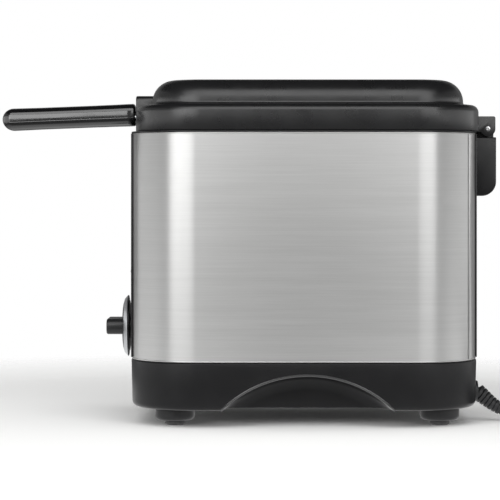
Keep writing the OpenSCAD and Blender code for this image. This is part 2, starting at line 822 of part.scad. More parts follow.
module end_wall(y) {
    translate([chamfer - basket_hw + 0.9, y + mesh_t, basket_z0 + mesh_t]) rotate([90, 0, 0])
        linear_extrude(mesh_t) grid(2 * (basket_hw - chamfer - 0.9), wall_h);
}

module basket_front_wall() {
    color("#c9ccce") at_body() end_wall(basket_front);
}

module basket_rear_wall() {
    color("#c9ccce") at_body() end_wall(basket_rear - mesh_t);
}

// A long wall with the two slanting corner panels beside it.
module side_wall() {
    long = basket_rear - basket_front - 2 * chamfer;
    translate([basket_hw - mesh_t, basket_front + chamfer, basket_z0 + mesh_t]) rotate([90, 0, 90])
        linear_extrude(mesh_t) grid(long, wall_h);
    for (end = [0, 1]) translate([0, end * (basket_front + basket_rear), 0]) mirror([0, end, 0])
        translate([basket_hw - chamfer, basket_front, basket_z0 + mesh_t]) rotate([90, 0, 45])
            translate([0.4, 0, -mesh_t]) linear_extrude(mesh_t) grid(chamfer * sqrt(2) - 0.8, wall_h);
}

module basket_right_wall() {
    color("#c9ccce") at_body() side_wall();
}

module basket_left_wall() {
    color("#c9ccce") at_body() mirror([1, 0, 0]) side_wall();
}

// The rim wire outside the walls' upper edge.
rim_r = 2;
module basket_frame() {
    r = 24;
    out = rim_r + 0.1;
    route = raised(outline(basket_hw + out, basket_front - out, basket_rear + out, r), basket_z1);
    color("#d5d7d9") at_body() {
        tube(route, rim_r, closed = true);
        for (s = [-1, 1]) for (y = [-40, 40]) {
            translate([s * (basket_hw + 1.3), y, basket_z0 - 1])
                cylinder(r = 1.3, h = basket_z1 - basket_z0);
            translate([s * 40, y, bowl_z0 + bowl_wall + 0.3])
                cylinder(r = 2, h = basket_z0 - bowl_z0 - bowl_wall - 1.3);
        }
        for (y = [-40, 40]) rod_x(-basket_hw - 2.6, basket_hw + 2.6, y, basket_z0 - 1.3, 1.3);
    }
}

bracket_y = basket_front - 2 * rim_r - 0.2;
module handle_bracket() {
    color("#cfd1d3") at_body() difference() {
        box(-18, 18, bracket_y - 1.4, bracket_y, 158, basket_z1 + 2);
        for (z = [166, 190]) rod_y(0, -110, -80, z, 3);
    }
}

// Two bent wires from the bracket up over the bowl's edge and into the grip.
stem_y = bracket_y - 1.4 - stem_d / 2;
stem_drop = 2;
stem_route = concat([[0, stem_y, 160], [0, stem_y, 180], [0, stem_y, 200], [0, stem_y, 210]],
    [for (a = [15:15:75]) [0, stem_y - 10 + 10 * cos(a), 210.8 + 10 * sin(a)]],
    [[0, handle_y + 20, handle_z - stem_drop - 0.3], [0, handle_y + 4, handle_z - stem_drop - 0.1]]);

module handle_frame() {
    translate([0, handle_y, handle_z]) rotate([handle_droop, 0, 0]) children();
}

module stem_ends(r) {
    for (s = [-1, 1]) rod_y(s * stem_x, -70, 4.5, -stem_drop, r);
}

module handle_stem() {
    color("#cfd1d3") at_body() {
        for (s = [-1, 1]) translate([s * stem_x, 0, 0])
            tube(stem_route, stem_d / 2, up = [1, 0, 0], sides = 10);
        handle_frame() stem_ends(stem_d / 2);
    }
}

// The grip's section, a rounded bar, at a place along it and shrunk towards its free end.
function grip_ring(y, hw, ht, lift) =
    [for (i = [0:23]) let(a = 360 * i / 24, c = cos(a), s = sin(a))
        [hw * sign(c) * pow(abs(c), 0.62), y, lift - ht * sign(s) * pow(abs(s), 0.62)]];

module grip() {
    hw = handle_w / 2;
    ht = handle_t / 2;
    skin(concat(
        [grip_ring(0, hw - 0.6, ht - 0.4, 0), grip_ring(-0.6, hw, ht + 0.1, 0),
            grip_ring(-3.4, hw, ht + 0.1, 0),
            grip_ring(-4.6, hw - 1, ht - 0.5, 0), grip_ring(-14, hw - 1, ht - 0.3, 0)],
        [for (a = [0:15:90]) let(k = cos(a * 0.985))
            grip_ring(-(handle_l - ht) - ht * sin(a), hw * (0.35 + 0.65 * k) - 0.2 * k, ht * k, 0)]));
}

handle_screw_places = [-24, -78];

module handle_upper() {
    color("#151516") at_body() handle_frame() difference() {
        intersection() {
            grip();
            box(-30, 30, -130, 10, -stem_drop, 30);
        }
        stem_ends(stem_d / 2 + 0.03);
        for (y = handle_screw_places) translate([0, y, -20]) cylinder(r = 1.5, h = 24);
    }
}

module handle_lower() {
    color("#151516") at_body() handle_frame() difference() {
        intersection() {
            grip();
            box(-30, 30, -130, 10, -30, -stem_drop);
        }
        stem_ends(stem_d / 2 + 0.03);
        for (y = handle_screw_places) translate([0, y, -20]) {
            cylinder(r = 1.5, h = 24);
            cylinder(r = 3, h = 14.5);
        }
    }
}

module handle_screws() {
    color("silver") at_body() handle_frame() for (y = handle_screw_places) translate([0, y, 0]) {
        translate([0, 0, -7.4]) cylinder(r = 2.9, h = 1.9);
        translate([0, 0, -6]) cylinder(r = 1.5, h = 9.5);
    }
}

// ---- cord ----

module strain_relief() {
    color("#202022") at_body() {
        difference() {
            tube(relief_route, [6, 5.8, 5.4, 5, 4.6, 4.2], up = [1, 0, 0], sides = 12);
            box(20, 60, 110, 124.9, 0, 60);
        }
        rod_y(exit_x, 120.6, 125.4, exit_z, 5.4);
        rod_y(exit_x, 124.8, 126.6, exit_z, 7.5);
        rod_y(exit_x, 118, 120.6, exit_z, 6.4);
        rod_y(exit_x, 113, 118.2, exit_z, 4.2);
    }
}

module cord_lead() {
    color("#1d1d1f") at_body() tube(lead_route, cord_d / 2, up = [1, 0, 0], sides = 10);
}

module cord_coil() {
    color("#1d1d1f") at_body() translate([coil_x, coil_y, tie_t]) rotate_extrude() polygon([
        [coil_r - cord_d, 1.5], [coil_r - cord_d + 1.5, 0], [coil_r + cord_d - 1.5, 0],
            [coil_r + cord_d, 1.5],
        [coil_r + cord_d, 5.5], [coil_r + 3.8, 12.4], [coil_r + 2.8, 13.1], [coil_r - 2.8, 13.1],
        [coil_r - 3.8, 12.4], [coil_r - cord_d, 5.5]]);
}

module cord_tail() {
    color("#1d1d1f") at_body() tube(tail_route, cord_d / 2, sides = 10);
}

// Half the section of the bundle of turns that the tie goes round, from the floor up.
tie_half = [[7.2, 0], [7.2, 5.8], [4.2, 12.6], [3.2, 13.4]];

// That section, grown by out and standing on base.
module tie_section(out, base) {
    right = [for (p = tie_half) [p[0] + out, p[1] > 0 ? p[1] + tie_t + out / 2 : base]];
    polygon(concat(right, [for (i = [len(right) - 1:-1:0]) [-right[i][0], right[i][1]]]));
}

module cord_tie() {
    color("#141415") at_body() translate([coil_x, coil_y, 0]) rotate([0, 0, tie_turn])
        translate([coil_r, tie_w / 2, 0])
        rotate([90, 0, 0]) linear_extrude(tie_w) difference() {
            tie_section(tie_t, 0);
            tie_section(0, tie_t);
        }
}

module plug_frame() {
    translate(plug_at) rotate([0, 0, 180 + plug_turn]) rotate([0, -plug_tilt, 0]) children();
}

module plug_body() {
    color("#1b1b1d") at_body() plug_frame() rotate([0, 90, 0]) rotate_extrude()
        polygon([[0, 0], [4.4, 0], [5.4, 2], [6.2, 20], [9, 23], [14.5, 28], [15.5, 36], [18.4, 38],
            [18.4, 52],
            [17.4, 53], [0, 53]]);
}

module plug_pins() {
    color("#c9cacc") at_body() plug_frame() for (s = [-1, 1]) translate([53, s * 9.5, 0])
        rotate([0, 90, 0]) {
        cylinder(r = 2.4, h = 17.5);
        translate([0, 0, 17.5]) cylinder(r1 = 2.4, r2 = 1.2, h = 1.5);
    }
}

base();
foot_cups();
foot_pads();
foot_screws();
steel_wrap();
rear_skin();
front_panel();
rear_panel();
top_frame();
bowl();
element_plate();
heating_element();
heat_shield();
tie_bolts();
thermostat();
thermostat_bracket();
sensor_bulb();
thermal_cutout();
lamp_power();
lamp_ready();
lamp_holder();
terminal_block();
cord_clamp();
wiring();
hinge_bracket();
bracket_screws();
hinge_pin();
lid_shell();
lid_inner();
lid_seal();
lid_filter();
vent_grille();
lid_window();
window_frame();
lid_screws();
knob();
knob_ring();
thermostat_shaft();
basket_bottom();
basket_front_wall();
basket_rear_wall();
basket_left_wall();
basket_right_wall();
basket_frame();
handle_bracket();
handle_stem();
handle_upper();
handle_lower();
handle_screws();
strain_relief();
cord_lead();
cord_coil();
cord_tail();
cord_tie();
plug_body();
plug_pins();
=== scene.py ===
import math
import bmesh
import bpy
from mathutils import Matrix, Vector


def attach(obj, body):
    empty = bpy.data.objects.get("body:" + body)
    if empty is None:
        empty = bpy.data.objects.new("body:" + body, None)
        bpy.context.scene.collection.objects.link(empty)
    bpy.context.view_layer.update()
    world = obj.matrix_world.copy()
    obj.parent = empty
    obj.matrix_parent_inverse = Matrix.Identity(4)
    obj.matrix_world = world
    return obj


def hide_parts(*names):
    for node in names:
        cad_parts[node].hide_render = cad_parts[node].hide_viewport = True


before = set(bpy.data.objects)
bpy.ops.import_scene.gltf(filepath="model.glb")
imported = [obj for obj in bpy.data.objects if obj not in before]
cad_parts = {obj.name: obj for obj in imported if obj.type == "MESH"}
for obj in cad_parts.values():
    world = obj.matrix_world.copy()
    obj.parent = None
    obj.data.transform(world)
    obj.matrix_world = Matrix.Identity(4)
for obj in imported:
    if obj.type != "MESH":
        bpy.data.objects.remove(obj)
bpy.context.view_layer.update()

# Pieces are modelled in millimetres about the middle of the fryer's body, which stands behind the frame's origin.
bodyShift = 40
toFrame = Matrix.Scale(0.001, 4) @ Matrix.Translation((0, bodyShift, 0))


# Small helpers.
def select(piece):
    bpy.ops.object.select_all(action="DESELECT")
    piece.select_set(True)
    bpy.context.view_layer.objects.active = piece


def start(kind, name, **settings):
    bpy.ops.object.select_all(action="DESELECT")
    getattr(bpy.ops.mesh, "primitive_" + kind + "_add")(**settings)
    piece = bpy.context.object
    piece.name = name
    bpy.ops.object.transform_apply(location=True, rotation=True, scale=True)
    return piece


alongX, alongY = (0, math.radians(90), 0), (math.radians(90), 0, 0)


def cube(name, at, size):
    return start("cube", name, size=1, location=at, scale=size)


def rod(name, vertices, radius, depth, at, rotation=(0, 0, 0)):
    return start("cylinder", name, vertices=vertices, radius=radius, depth=depth, location=at, rotation=rotation)


def linked(name, data):
    piece = bpy.data.objects.new(name, data)
    bpy.context.collection.objects.link(piece)
    return piece


def newMesh(name, points, edges=(), faces=()):
    data = bpy.data.meshes.new(name)
    data.from_pydata(points, edges, faces)
    return linked(name, data)


def edit(piece):
    select(piece)
    bpy.ops.object.mode_set(mode="EDIT")
    bpy.ops.mesh.select_all(action="DESELECT")


def leave():
    bpy.ops.object.mode_set(mode="OBJECT")


def pickAll():
    bpy.ops.mesh.select_all(action="SELECT")


def pickItems(kind, test):
    bpy.ops.mesh.select_mode(type=kind)
    bpy.ops.mesh.select_all(action="DESELECT")
    mesh = bmesh.from_edit_mesh(bpy.context.edit_object.data)
    for item in {"FACE": mesh.faces, "EDGE": mesh.edges, "VERT": mesh.verts}[kind]:
        item.select_set(bool(test(item)))
    bmesh.update_edit_mesh(bpy.context.edit_object.data)


def pick(test, kind="FACE"):
    # Selects the faces, edges or points whose middle and direction pass the test.
    def spot(item):
        if kind == "FACE":
            return item.calc_center_median(), item.normal
        if kind == "VERT":
            return item.co, item.normal
        a, b = (v.co for v in item.verts)
        return (a + b) / 2, (b - a).normalized()

    pickItems(kind, lambda item: test(*spot(item)))


def near(a, b, slack=0.02):
    return abs(a - b) < slack


def levelAt(edge, z):
    return all(near(v.co.z, z) for v in edge.verts)


def flatEdges(z):
    pick(lambda c, d: near(c.z, z) and near(d.z, 0), "EDGE")


def sharpEdges(levels, angle=1):
    # Selects the edges at those heights where two faces meet at more than the angle.
    pickItems("EDGE", lambda e: any(levelAt(e, z) for z in levels) and e.is_manifold and e.calc_face_angle() > angle)


def raise_(height):
    bpy.ops.mesh.extrude_region_move(TRANSFORM_OT_translate={"value": (0, 0, height)})


def raiseAll(piece, height):
    # Starts editing a flat plate and gives it its height.
    edit(piece)
    pickAll()
    raise_(height)


def inset(thickness):
    bpy.ops.mesh.inset(thickness=thickness)


def dropFaces():
    bpy.ops.mesh.delete(type="FACE")


def faceOutward():
    pickAll()
    bpy.ops.mesh.normals_make_consistent(inside=False)


def bevel(width, steps):
    bpy.ops.mesh.bevel(offset=width, offset_type="OFFSET", segments=steps, affect="EDGES", clamp_overlap=True)


def bevelWhere(piece, test, width, steps):
    # Bevels the edges whose middle and direction pass the test.
    edit(piece)
    pick(test, "EDGE")
    bevel(width, steps)
    leave()


def bevelAll(piece, width, steps):
    edit(piece)
    pickAll()
    bevel(width, steps)
    leave()


def modify(piece, kind, **settings):
    select(piece)
    modifier = piece.modifiers.new(kind.lower(), kind)
    for key, value in settings.items():
        setattr(modifier, key, value)
    bpy.ops.object.modifier_apply(modifier=modifier.name)


def thicken(piece, thickness):
    modify(piece, "SOLIDIFY", thickness=thickness, offset=-1, use_even_offset=True)


def roundEdges(piece, width, steps=3):
    modify(piece, "BEVEL", width=width, segments=steps, limit_method="ANGLE", angle_limit=math.radians(40),
           harden_normals=False)


def combine(piece, other, operation="DIFFERENCE"):
    modify(piece, "BOOLEAN", operation=operation, solver="EXACT", object=other)
    bpy.data.objects.remove(other)


def joinAll(name, pieces):
    select(pieces[0])
    for piece in pieces[1:]:
        piece.select_set(True)
    bpy.ops.object.join()
    pieces[0].name = name
    return pieces[0]


def copyOf(piece, matrix):
    twin = piece.copy()
    twin.data = piece.data.copy()
    bpy.context.collection.objects.link(twin)
    twin.data.transform(matrix)
    return twin


def mergePoints():
    pickAll()
    bpy.ops.mesh.remove_doubles(threshold=0.001)
    bpy.ops.mesh.normals_make_consistent(inside=False)
    leave()


def tidy(piece):
    edit(piece)
    mergePoints()


def dress(piece, body, slot, material, *nodes, angle=32):
    # For what is already in metres in the frame.
    if piece.type == "MESH":
        select(piece)
        bpy.ops.object.shade_smooth_by_angle(angle=math.radians(angle))
    piece.data.materials.clear()
    piece.data.materials.append(material)
    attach(piece, body)
    if nodes:
        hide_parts(*nodes)
    return piece


def place(piece, body, slot, material, *nodes, angle=32, clean=True):
    if clean:
        tidy(piece)
    piece.data.transform(toFrame)
    return dress(piece, body, slot, material, *nodes, angle=angle)


def turn(cy, cz, radius, start_, end, steps=10):
    angles = [math.radians(start_ + (end - start_) * i / steps) for i in range(steps + 1)]
    return [(cy + radius * math.cos(a), cz + radius * math.sin(a)) for a in angles]


def roundCorners(hw, front, rear, corner, steps):
    # The rounded corners of a rectangle, each as a list of points.
    spots = ((hw - corner, rear - corner, 0), (corner - hw, rear - corner, 90), (corner - hw, front + corner, 180),
             (hw - corner, front + corner, 270))
    return [turn(x, y, corner, a, a + 90, steps) for x, y, a in spots]


def plan(name, hw, front, rear, radius, bow, z, steps=20):
    # A flat plate with round corners, whose front edge bulges by bow.
    piece = start("plane", name, size=1)
    whole = Matrix.Diagonal((2 * hw, rear - front, 1, 1))
    piece.data.transform(Matrix.Translation((0, (front + rear) / 2, z)) @ whole)
    edit(piece)
    pickAll()
    bpy.ops.mesh.bevel(offset=radius, offset_type="OFFSET", segments=steps, affect="VERTICES")
    pick(lambda c, d: near(c.y, front) and near(d.y, 0), "EDGE")
    bpy.ops.mesh.subdivide(number_cuts=steps)
    mesh = bmesh.from_edit_mesh(piece.data)
    for point in mesh.verts:
        if point.co.y < (front + rear) / 2:
            point.co.y -= bow * (1 - (point.co.x / hw) ** 2)
    bmesh.update_edit_mesh(piece.data)
    leave()
    return piece


# Materials.
def linear(code):
    parts = [int(code[i:i + 2], 16) / 255 for i in (1, 3, 5)]
    return [c / 12.92 if c <= 0.04045 else ((c + 0.055) / 1.055) ** 2.4 for c in parts] + [1]


def add(tree, kind, inputs=None, **settings):
    node = tree.nodes.new("ShaderNode" + kind)
    for key, value in settings.items():
        setattr(node, key, value)
    for key, value in (inputs or {}).items():
        if isinstance(value, bpy.types.NodeSocket):
            tree.links.new(value, node.inputs[key])
        else:
            node.inputs[key].default_value = value
    return node


def newMaterial(name, colour, **sockets):
    material = bpy.data.materials.new(name)
    material.use_nodes = True
    tree = material.node_tree
    shader = tree.nodes["Principled BSDF"]
    shader.inputs["Base Color"].default_value = linear(colour)
    for key, value in sockets.items():
        shader.inputs[key.replace("_", " ")].default_value = value
    return material, tree, shader


def objectPoint(tree, *pitches):
    # Object coordinates, in which one unit is the pattern's pitch in mm, or its three pitches.
    inputs = {"Vector": add(tree, "TexCoord").outputs["Object"], "Scale": [1000 / p for p in pitches * 3][:3]}
    return add(tree, "Mapping", inputs).outputs["Vector"]


def noise(tree, detail, *pitches, roughness=0.5):
    # Noise whose main blotches are that many mm across, or so many along each axis.
    inputs = {"Vector": objectPoint(tree, *pitches), "Scale": 1, "Detail": detail, "Roughness": roughness}
    return add(tree, "TexNoise", inputs).outputs["Fac"]


def ramp(tree, factor, low, high, toLow=0.0, toHigh=1.0):
    inputs = {"Value": factor, 1: low, 2: high, 3: toLow, 4: toHigh}
    return add(tree, "MapRange", inputs).outputs["Result"]


def connect(tree, source, shader, socket):
    tree.links.new(source, shader.inputs[socket])


def tint(tree, shader, pattern, low, high, first, second):
    # Blends two colours where the pattern rises from low to high.
    inputs = {0: ramp(tree, pattern, low, high), 6: linear(first), 7: linear(second)}
    connect(tree, add(tree, "Mix", inputs, data_type="RGBA").outputs[2], shader, "Base Color")


def dull(tree, shader, pattern, low, high, first, second):
    connect(tree, ramp(tree, pattern, low, high, first, second), shader, "Roughness")


def bump(tree, shader, height, depthMm, strength=1.0):
    inputs = {"Height": height, "Distance": depthMm / 1000, "Strength": strength}
    connect(tree, add(tree, "Bump", inputs).outputs["Normal"], shader, "Normal")


def mouldedPlastic(name, colour, worn, roughness, grainMm, grainDepth, specular=0.5):
    # Injection moulded ABS or polypropylene: spark-eroded grain, and faint smears that change the sheen.
    material, tree, shader = newMaterial(name, colour, IOR=1.5, Specular_IOR_Level=specular)
    tint(tree, shader, noise(tree, 3, 45), 0.35, 0.7, colour, worn)
    dull(tree, shader, noise(tree, 4, 18), 0.3, 0.7, roughness - 0.05, roughness + 0.06)
    bump(tree, shader, noise(tree, 1, grainMm), grainDepth)
    return material


def brushedStainless():
    # 304 sheet brushed along its length: fine horizontal lines that spread reflections up and down.
    material, tree, shader = newMaterial("brushedStainless", "#d2d2d1", Metallic=1.0, Anisotropic=0.9,
                                         Anisotropic_Rotation=0.25)
    grain = noise(tree, 2, 45, 45, 0.6)
    streaks = noise(tree, 3, 160, 160, 3)
    both = add(tree, "Math", {0: grain, 1: streaks}, operation="ADD").outputs[0]
    tint(tree, shader, both, 0.75, 1.25, "#cececd", "#d5d5d4")
    dull(tree, shader, both, 0.7, 1.3, 0.38, 0.44)
    connect(tree, add(tree, "Tangent", direction_type="RADIAL", axis="Z").outputs[0], shader, "Tangent")
    bump(tree, shader, grain, 0.004, 0.5)
    return material


def plainMetal(name, colour, dark, roughness, grain=(6, 6, 6), depth=0.02):
    # Bare or plated metal as it comes from the press or the mill.
    material, tree, shader = newMaterial(name, colour, Metallic=1.0)
    clouds = noise(tree, 4, *grain)
    tint(tree, shader, clouds, 0.3, 0.7, dark, colour)
    dull(tree, shader, clouds, 0.3, 0.7, roughness + 0.08, roughness - 0.04)
    bump(tree, shader, noise(tree, 2, *(g / 6 for g in grain)), depth)
    return material


def nonstick():
    # PTFE coating on pressed aluminium: dark grey with fine pale flecks and a soft sheen.
    material, tree, shader = newMaterial("nonstickCoating", "#2f3032", IOR=1.45)
    cells = add(tree, "TexVoronoi", {"Vector": objectPoint(tree, 1000 / 900), "Scale": 1.0})
    flecks = ramp(tree, cells.outputs["Distance"], 0.1, 0.22, 1.0, 0.0)
    sparse = ramp(tree, noise(tree, 2, 5), 0.5, 0.62)
    amount = add(tree, "Math", {0: flecks, 1: sparse}, operation="MULTIPLY").outputs[0]
    tint(tree, shader, amount, 0, 1, "#2f3032", "#7c7d7f")
    dull(tree, shader, noise(tree, 3, 12), 0.3, 0.7, 0.3, 0.42)
    bump(tree, shader, noise(tree, 2, 0.9), 0.03)
    return material


def rubber(name, colour, dusty, roughness=0.6, grainMm=0.8):
    # Rubber or soft PVC: no clear reflection, and a little dust in its grain.
    material, tree, shader = newMaterial(name, colour, IOR=1.52, Specular_IOR_Level=0.4)
    dust = noise(tree, 4, 9, roughness=0.7)
    tint(tree, shader, dust, 0.45, 0.75, colour, dusty)
    dull(tree, shader, dust, 0.3, 0.7, roughness - 0.08, roughness + 0.1)
    bump(tree, shader, noise(tree, 2, grainMm), 0.04)
    return material


def wovenMesh():
    # Knitted aluminium filter cloth: wires that cross every 0.9 mm, with painted shade, a dark grey, in the gaps
    # between them.
    material, tree, shader = newMaterial("filterMesh", "#b9bbbd", Metallic=1.0, Roughness=0.34)
    waves = []
    for axis in "XY":
        inputs = {"Vector": objectPoint(tree, 5.65), "Scale": 1.0, "Distortion": 0.6, "Detail": 1}
        waves.append(add(tree, "TexWave", inputs, bands_direction=axis).outputs["Fac"])
    wires = add(tree, "Math", {0: waves[0], 1: waves[1]}, operation="MAXIMUM").outputs[0]
    # The gaps between the wires are painted dark grey as shade; the wires are pale.
    tint(tree, shader, wires, 0.35, 0.8, "#3f4143", "#b9bbbd")
    bump(tree, shader, wires, 0.25)
    return material


def clearGlass(name, colour, roughness=0.03):
    # Tempered glass or a clear moulded lens, faintly uneven from its mould.
    material, tree, shader = newMaterial(name, colour, IOR=1.49, Roughness=roughness, Transmission_Weight=1.0)
    bump(tree, shader, noise(tree, 1, 14), 0.02, 0.4)
    return material


matte = mouldedPlastic("satinPolypropylene", "#161617", "#1b1b1c", 0.33, 0.9, 0.03, 0.2)
polished = mouldedPlastic("polishedPolypropylene", "#1c1c1d", "#222223", 0.2, 1.2, 0.002, 1.0)
frameMoulding = mouldedPlastic("satinAbs", "#141415", "#181819", 0.3, 1.0, 0.02, 0.32)
lidMoulding = mouldedPlastic("polishedAbs", "#131314", "#171718", 0.29, 1.2, 0.01, 0.6)
cupMoulding = mouldedPlastic("mouldedNylon", "#161617", "#1c1c1d", 0.45, 0.9, 0.03, 0.35)
handlePhenolic = mouldedPlastic("glossPhenolic", "#0c0c0d", "#0f0f10", 0.1, 1.5, 0.002, 1.0)
panelMoulding = mouldedPlastic("panelAbs", "#1a1a1b", "#202021", 0.28, 1.0, 0.012, 0.4)
knobMoulding = mouldedPlastic("knobAbs", "#1c1c1d", "#222223", 0.32, 0.8, 0.02, 0.4)
stainless = brushedStainless()
satinChrome = plainMetal("satinChromePlate", "#c3c4c6", "#bcbdbf", 0.34, (12, 12, 12), 0.01)
wireChrome = plainMetal("chromedWire", "#c9cbcd", "#b6b8ba", 0.2, (8, 8, 8), 0.01)
pinSteel = plainMetal("polishedPinSteel", "#d2d2d3", "#bcbcbd", 0.18, (5, 5, 5), 0.01)
zinc = plainMetal("zincPlate", "#c0c2c4", "#a9a89e", 0.3, (4, 4, 4), 0.02)
aluminium = plainMetal("millAluminium", "#c4c6c8", "#b4b6b8", 0.3, (80, 8, 8), 0.02)
sheetSteel = plainMetal("galvanisedSheet", "#a9abad", "#989b9e", 0.38, (12, 12, 12), 0.02)
elementSteel = plainMetal("heatDarkenedSteel", "#6b6358", "#4a4743", 0.42, (7, 7, 7), 0.03)
copper = plainMetal("drawnCopper", "#b8734a", "#8d5a3e", 0.3, (5, 5, 5), 0.01)
nickel = plainMetal("nickelPlatedBrass", "#c8c4ba", "#b3ab9a", 0.22, (5, 5, 5), 0.01)
coating = nonstick()
footRubber = rubber("footRubber", "#3c3c3d", "#4a4a49", 0.65)
cordPvc = rubber("cordPvc", "#1b1b1d", "#242426", 0.42, 1.2)
plugPvc = rubber("plugPvc", "#1a1a1c", "#232325", 0.4, 1.0)
siliconeGrey = rubber("siliconeSeal", "#85888a", "#91918f", 0.5)
ceramic = rubber("glazedCeramic", "#d9d2c3", "#c9bfa9", 0.4)
nylonWhite = rubber("naturalNylon", "#e5e1d6", "#d7d1c2", 0.45)
sleeving = rubber("glassSleeving", "#6a5243", "#7d6957", 0.6)
tieNylon = rubber("tieNylon", "#161617", "#1e1e1f", 0.45)
filterMesh = wovenMesh()
glass = clearGlass("temperedGlass", "#dfe7e8")
redLens = clearGlass("redLens", "#d8301c", 0.12)
greenLens = clearGlass("greenLens", "#3fae4e", 0.12)
markPaint = newMaterial("printedWhite", "#cfcfcd", Roughness=0.5)[0]
print("materials made")


# Camera.
view = {"distance": 1595, "y": -38.5, "height": 164, "lens": 154.3, "shift": -0.11}


def makeCamera():
    data = bpy.data.cameras.new("camera")
    data.lens = view["lens"]
    data.sensor_width = 36
    data.shift_y = view["shift"]
    data.clip_end = 50
    camera = linked("camera", data)
    camera.location = toFrame @ Vector((view["distance"], view["y"], view["height"]))
    camera.rotation_euler = (math.radians(90), 0, math.radians(90))
    bpy.context.scene.camera = camera


makeCamera()
print("camera made")


# Mains lead, strain relief and plug.
lead = {
    "diameter": 7, "length": 0.76, "exit": (40, 126.6, 21.2),
    "coil": (-4.5, 205), "outer": 44.5, "inner": 37.5, "top": 41, "floorZ": 4.3, "topZ": 10.4,
    "inwards": (248, 306), "upwards": (568, 606), "leave": 825, "hump": 0.9, "step": 11,
}
reliefRoute = [(40, 123, 23.4), (40, 126, 21.6), (40, 129.6, 18.8), (40, 133.4, 15.6), (40, 137.6, 12.4),
               (40, 143.4, 8.7)]
leadRoute = [(40, 147.5, 6.6), (40, 152, 5), (40, 157, 4), (40, 163, 3.6), (40, 170, 3.6), (40, 178, 3.8),
             (40, 186, 4.1), (40, 192, 4.3), (40, 199, 4.3)]
tailRoute = [(-20, 243.3, 10.6), (-28.6, 241, 11.3), (-37.3, 238.6, 11.4), (-46, 236.3, 10.6), (-54.7, 234, 8.2),
             (-63.4, 231.7, 5.6), (-72.1, 229.3, 4.3), (-80.8, 227, 5.2)]


def ease(value):
    t = min(max(value, 0), 1)
    return t * t * (3 - 2 * t)


def coilPoint(angle):
    # Out on the floor, then in on the floor, then up between the two turns below.
    inwards = ease((angle - lead["inwards"][0]) / (lead["inwards"][1] - lead["inwards"][0]))
    upwards = ease((angle - lead["upwards"][0]) / (lead["upwards"][1] - lead["upwards"][0]))
    radius = lead["outer"] + (lead["inner"] - lead["outer"]) * inwards + (lead["top"] - lead["inner"]) * upwards
    over = 360 + sum(lead["inwards"]) / 2
    hump = upwards * lead["hump"] * math.exp(-((angle - over) / 30) ** 2)
    height = lead["floorZ"] + (lead["topZ"] - lead["floorZ"]) * upwards + hump
    turn = math.radians(angle)
    return (lead["coil"][0] + radius * math.cos(turn), lead["coil"][1] + radius * math.sin(turn), height)


def curveThrough(name, points, radius, widths=None, sides=3, cyclic=False, kind="BEZIER"):
    data = bpy.data.curves.new(name, "CURVE")
    data.dimensions = "3D"
    data.bevel_depth = radius / 1000
    data.bevel_resolution = sides
    data.resolution_u = 4
    data.use_fill_caps = True
    spline = data.splines.new(kind)
    places = [toFrame @ Vector(p) for p in points]
    if kind == "BEZIER":
        spline.bezier_points.add(len(places) - 1)
        for point, p in zip(spline.bezier_points, places):
            point.co = p
            point.handle_left_type = point.handle_right_type = "AUTO"
    else:
        spline.points.add(len(places) - 1)
        for point, p in zip(spline.points, places):
            point.co = (*p, 1)
    knots = spline.bezier_points if kind == "BEZIER" else spline.points
    for point, width in zip(knots, widths or [1] * len(places)):
        point.radius = width
    spline.use_cyclic_u = cyclic
    return linked(name, data)


def toMesh(piece):
    select(piece)
    bpy.ops.object.convert(target="MESH")
    return bpy.context.object


def wire(name, points, radius, sides=2, cyclic=False):
    piece = toMesh(curveThrough(name, points, radius, sides=sides, cyclic=cyclic, kind="POLY"))
    piece.data.transform(toFrame.inverted())
    return piece


def makeLead():
    turns = [coilPoint(a) for a in range(0, lead["leave"] - 4, lead["step"])]
    route = reliefRoute + leadRoute + turns + tailRoute
    piece = curveThrough("mainsLead", route, lead["diameter"] / 2, sides=4)
    return dress(piece, "housing", "cord_rubber", cordPvc, "cord_lead", "cord_coil", "cord_tail")


relief = {"start": 6.4, "end": 4.3, "rings": 7, "groove": 0.72, "flange": (7.5, 2.2, (40, 125.5, 22))}


def makeRelief():
    # A tapered sleeve, cut by grooves that let it bend, behind a flange against the housing.
    rings, widths, places = relief["rings"], [], []
    path = [Vector(p) for p in reliefRoute[1:]]
    lengths = [0]
    for a, b in zip(path, path[1:]):
        lengths.append(lengths[-1] + (b - a).length)

    def along(s):
        for i in range(len(path) - 1):
            if s <= lengths[i + 1] or i == len(path) - 2:
                return path[i].lerp(path[i + 1], (s - lengths[i]) / (lengths[i + 1] - lengths[i]))

    full, groove = lengths[-1], relief["groove"]
    for ring in range(rings):
        for share, scale in ((0, groove), (0.16, groove), (0.22, 0.97), (0.3, 1), (0.86, 1), (0.94, 0.97), (1, groove)):
            s = full * (ring + share * 0.999) / rings
            width = relief["start"] + (relief["end"] - relief["start"]) * s / full
            places.append(along(s))
            widths.append(max(width * scale, lead["diameter"] / 2 + 0.15))
    sleeve = toMesh(curveThrough("sleeve", places, 1, widths, 5, kind="POLY"))
    flange = rod("flange", 40, *relief["flange"], alongY)
    bevelWhere(flange, lambda c, d: c.y > 126 and near(d.y, 0, 0.2), 0.7, 3)
    flange.data.transform(toFrame)
    piece = joinAll("strainRelief", [sleeve, flange])
    return dress(piece, "housing", "cord_rubber", cordPvc, "strain_relief")


plug = {
    "place": (-80.8, 227, 5.2), "turn": 15, "tilt": 19,
    "profile": [(0, 0), (0, 4), (0, 4.6), (3, 5.3), (18, 6.2), (21, 7.6), (24, 10.6), (28, 13.6), (31, 14.9),
                (34, 15.4), (36.6, 15.8), (37.6, 17.2), (38.6, 18.1), (40, 18.4), (51.6, 18.4), (52.6, 18),
                (53, 17.2), (53, 12), (52.4, 11.4), (52.4, 0)],
    "pinX": 9.5, "pinRadius": 2.4, "pinTip": 72, "ribs": 18, "rib": (9, 1.6, 0.9),
}


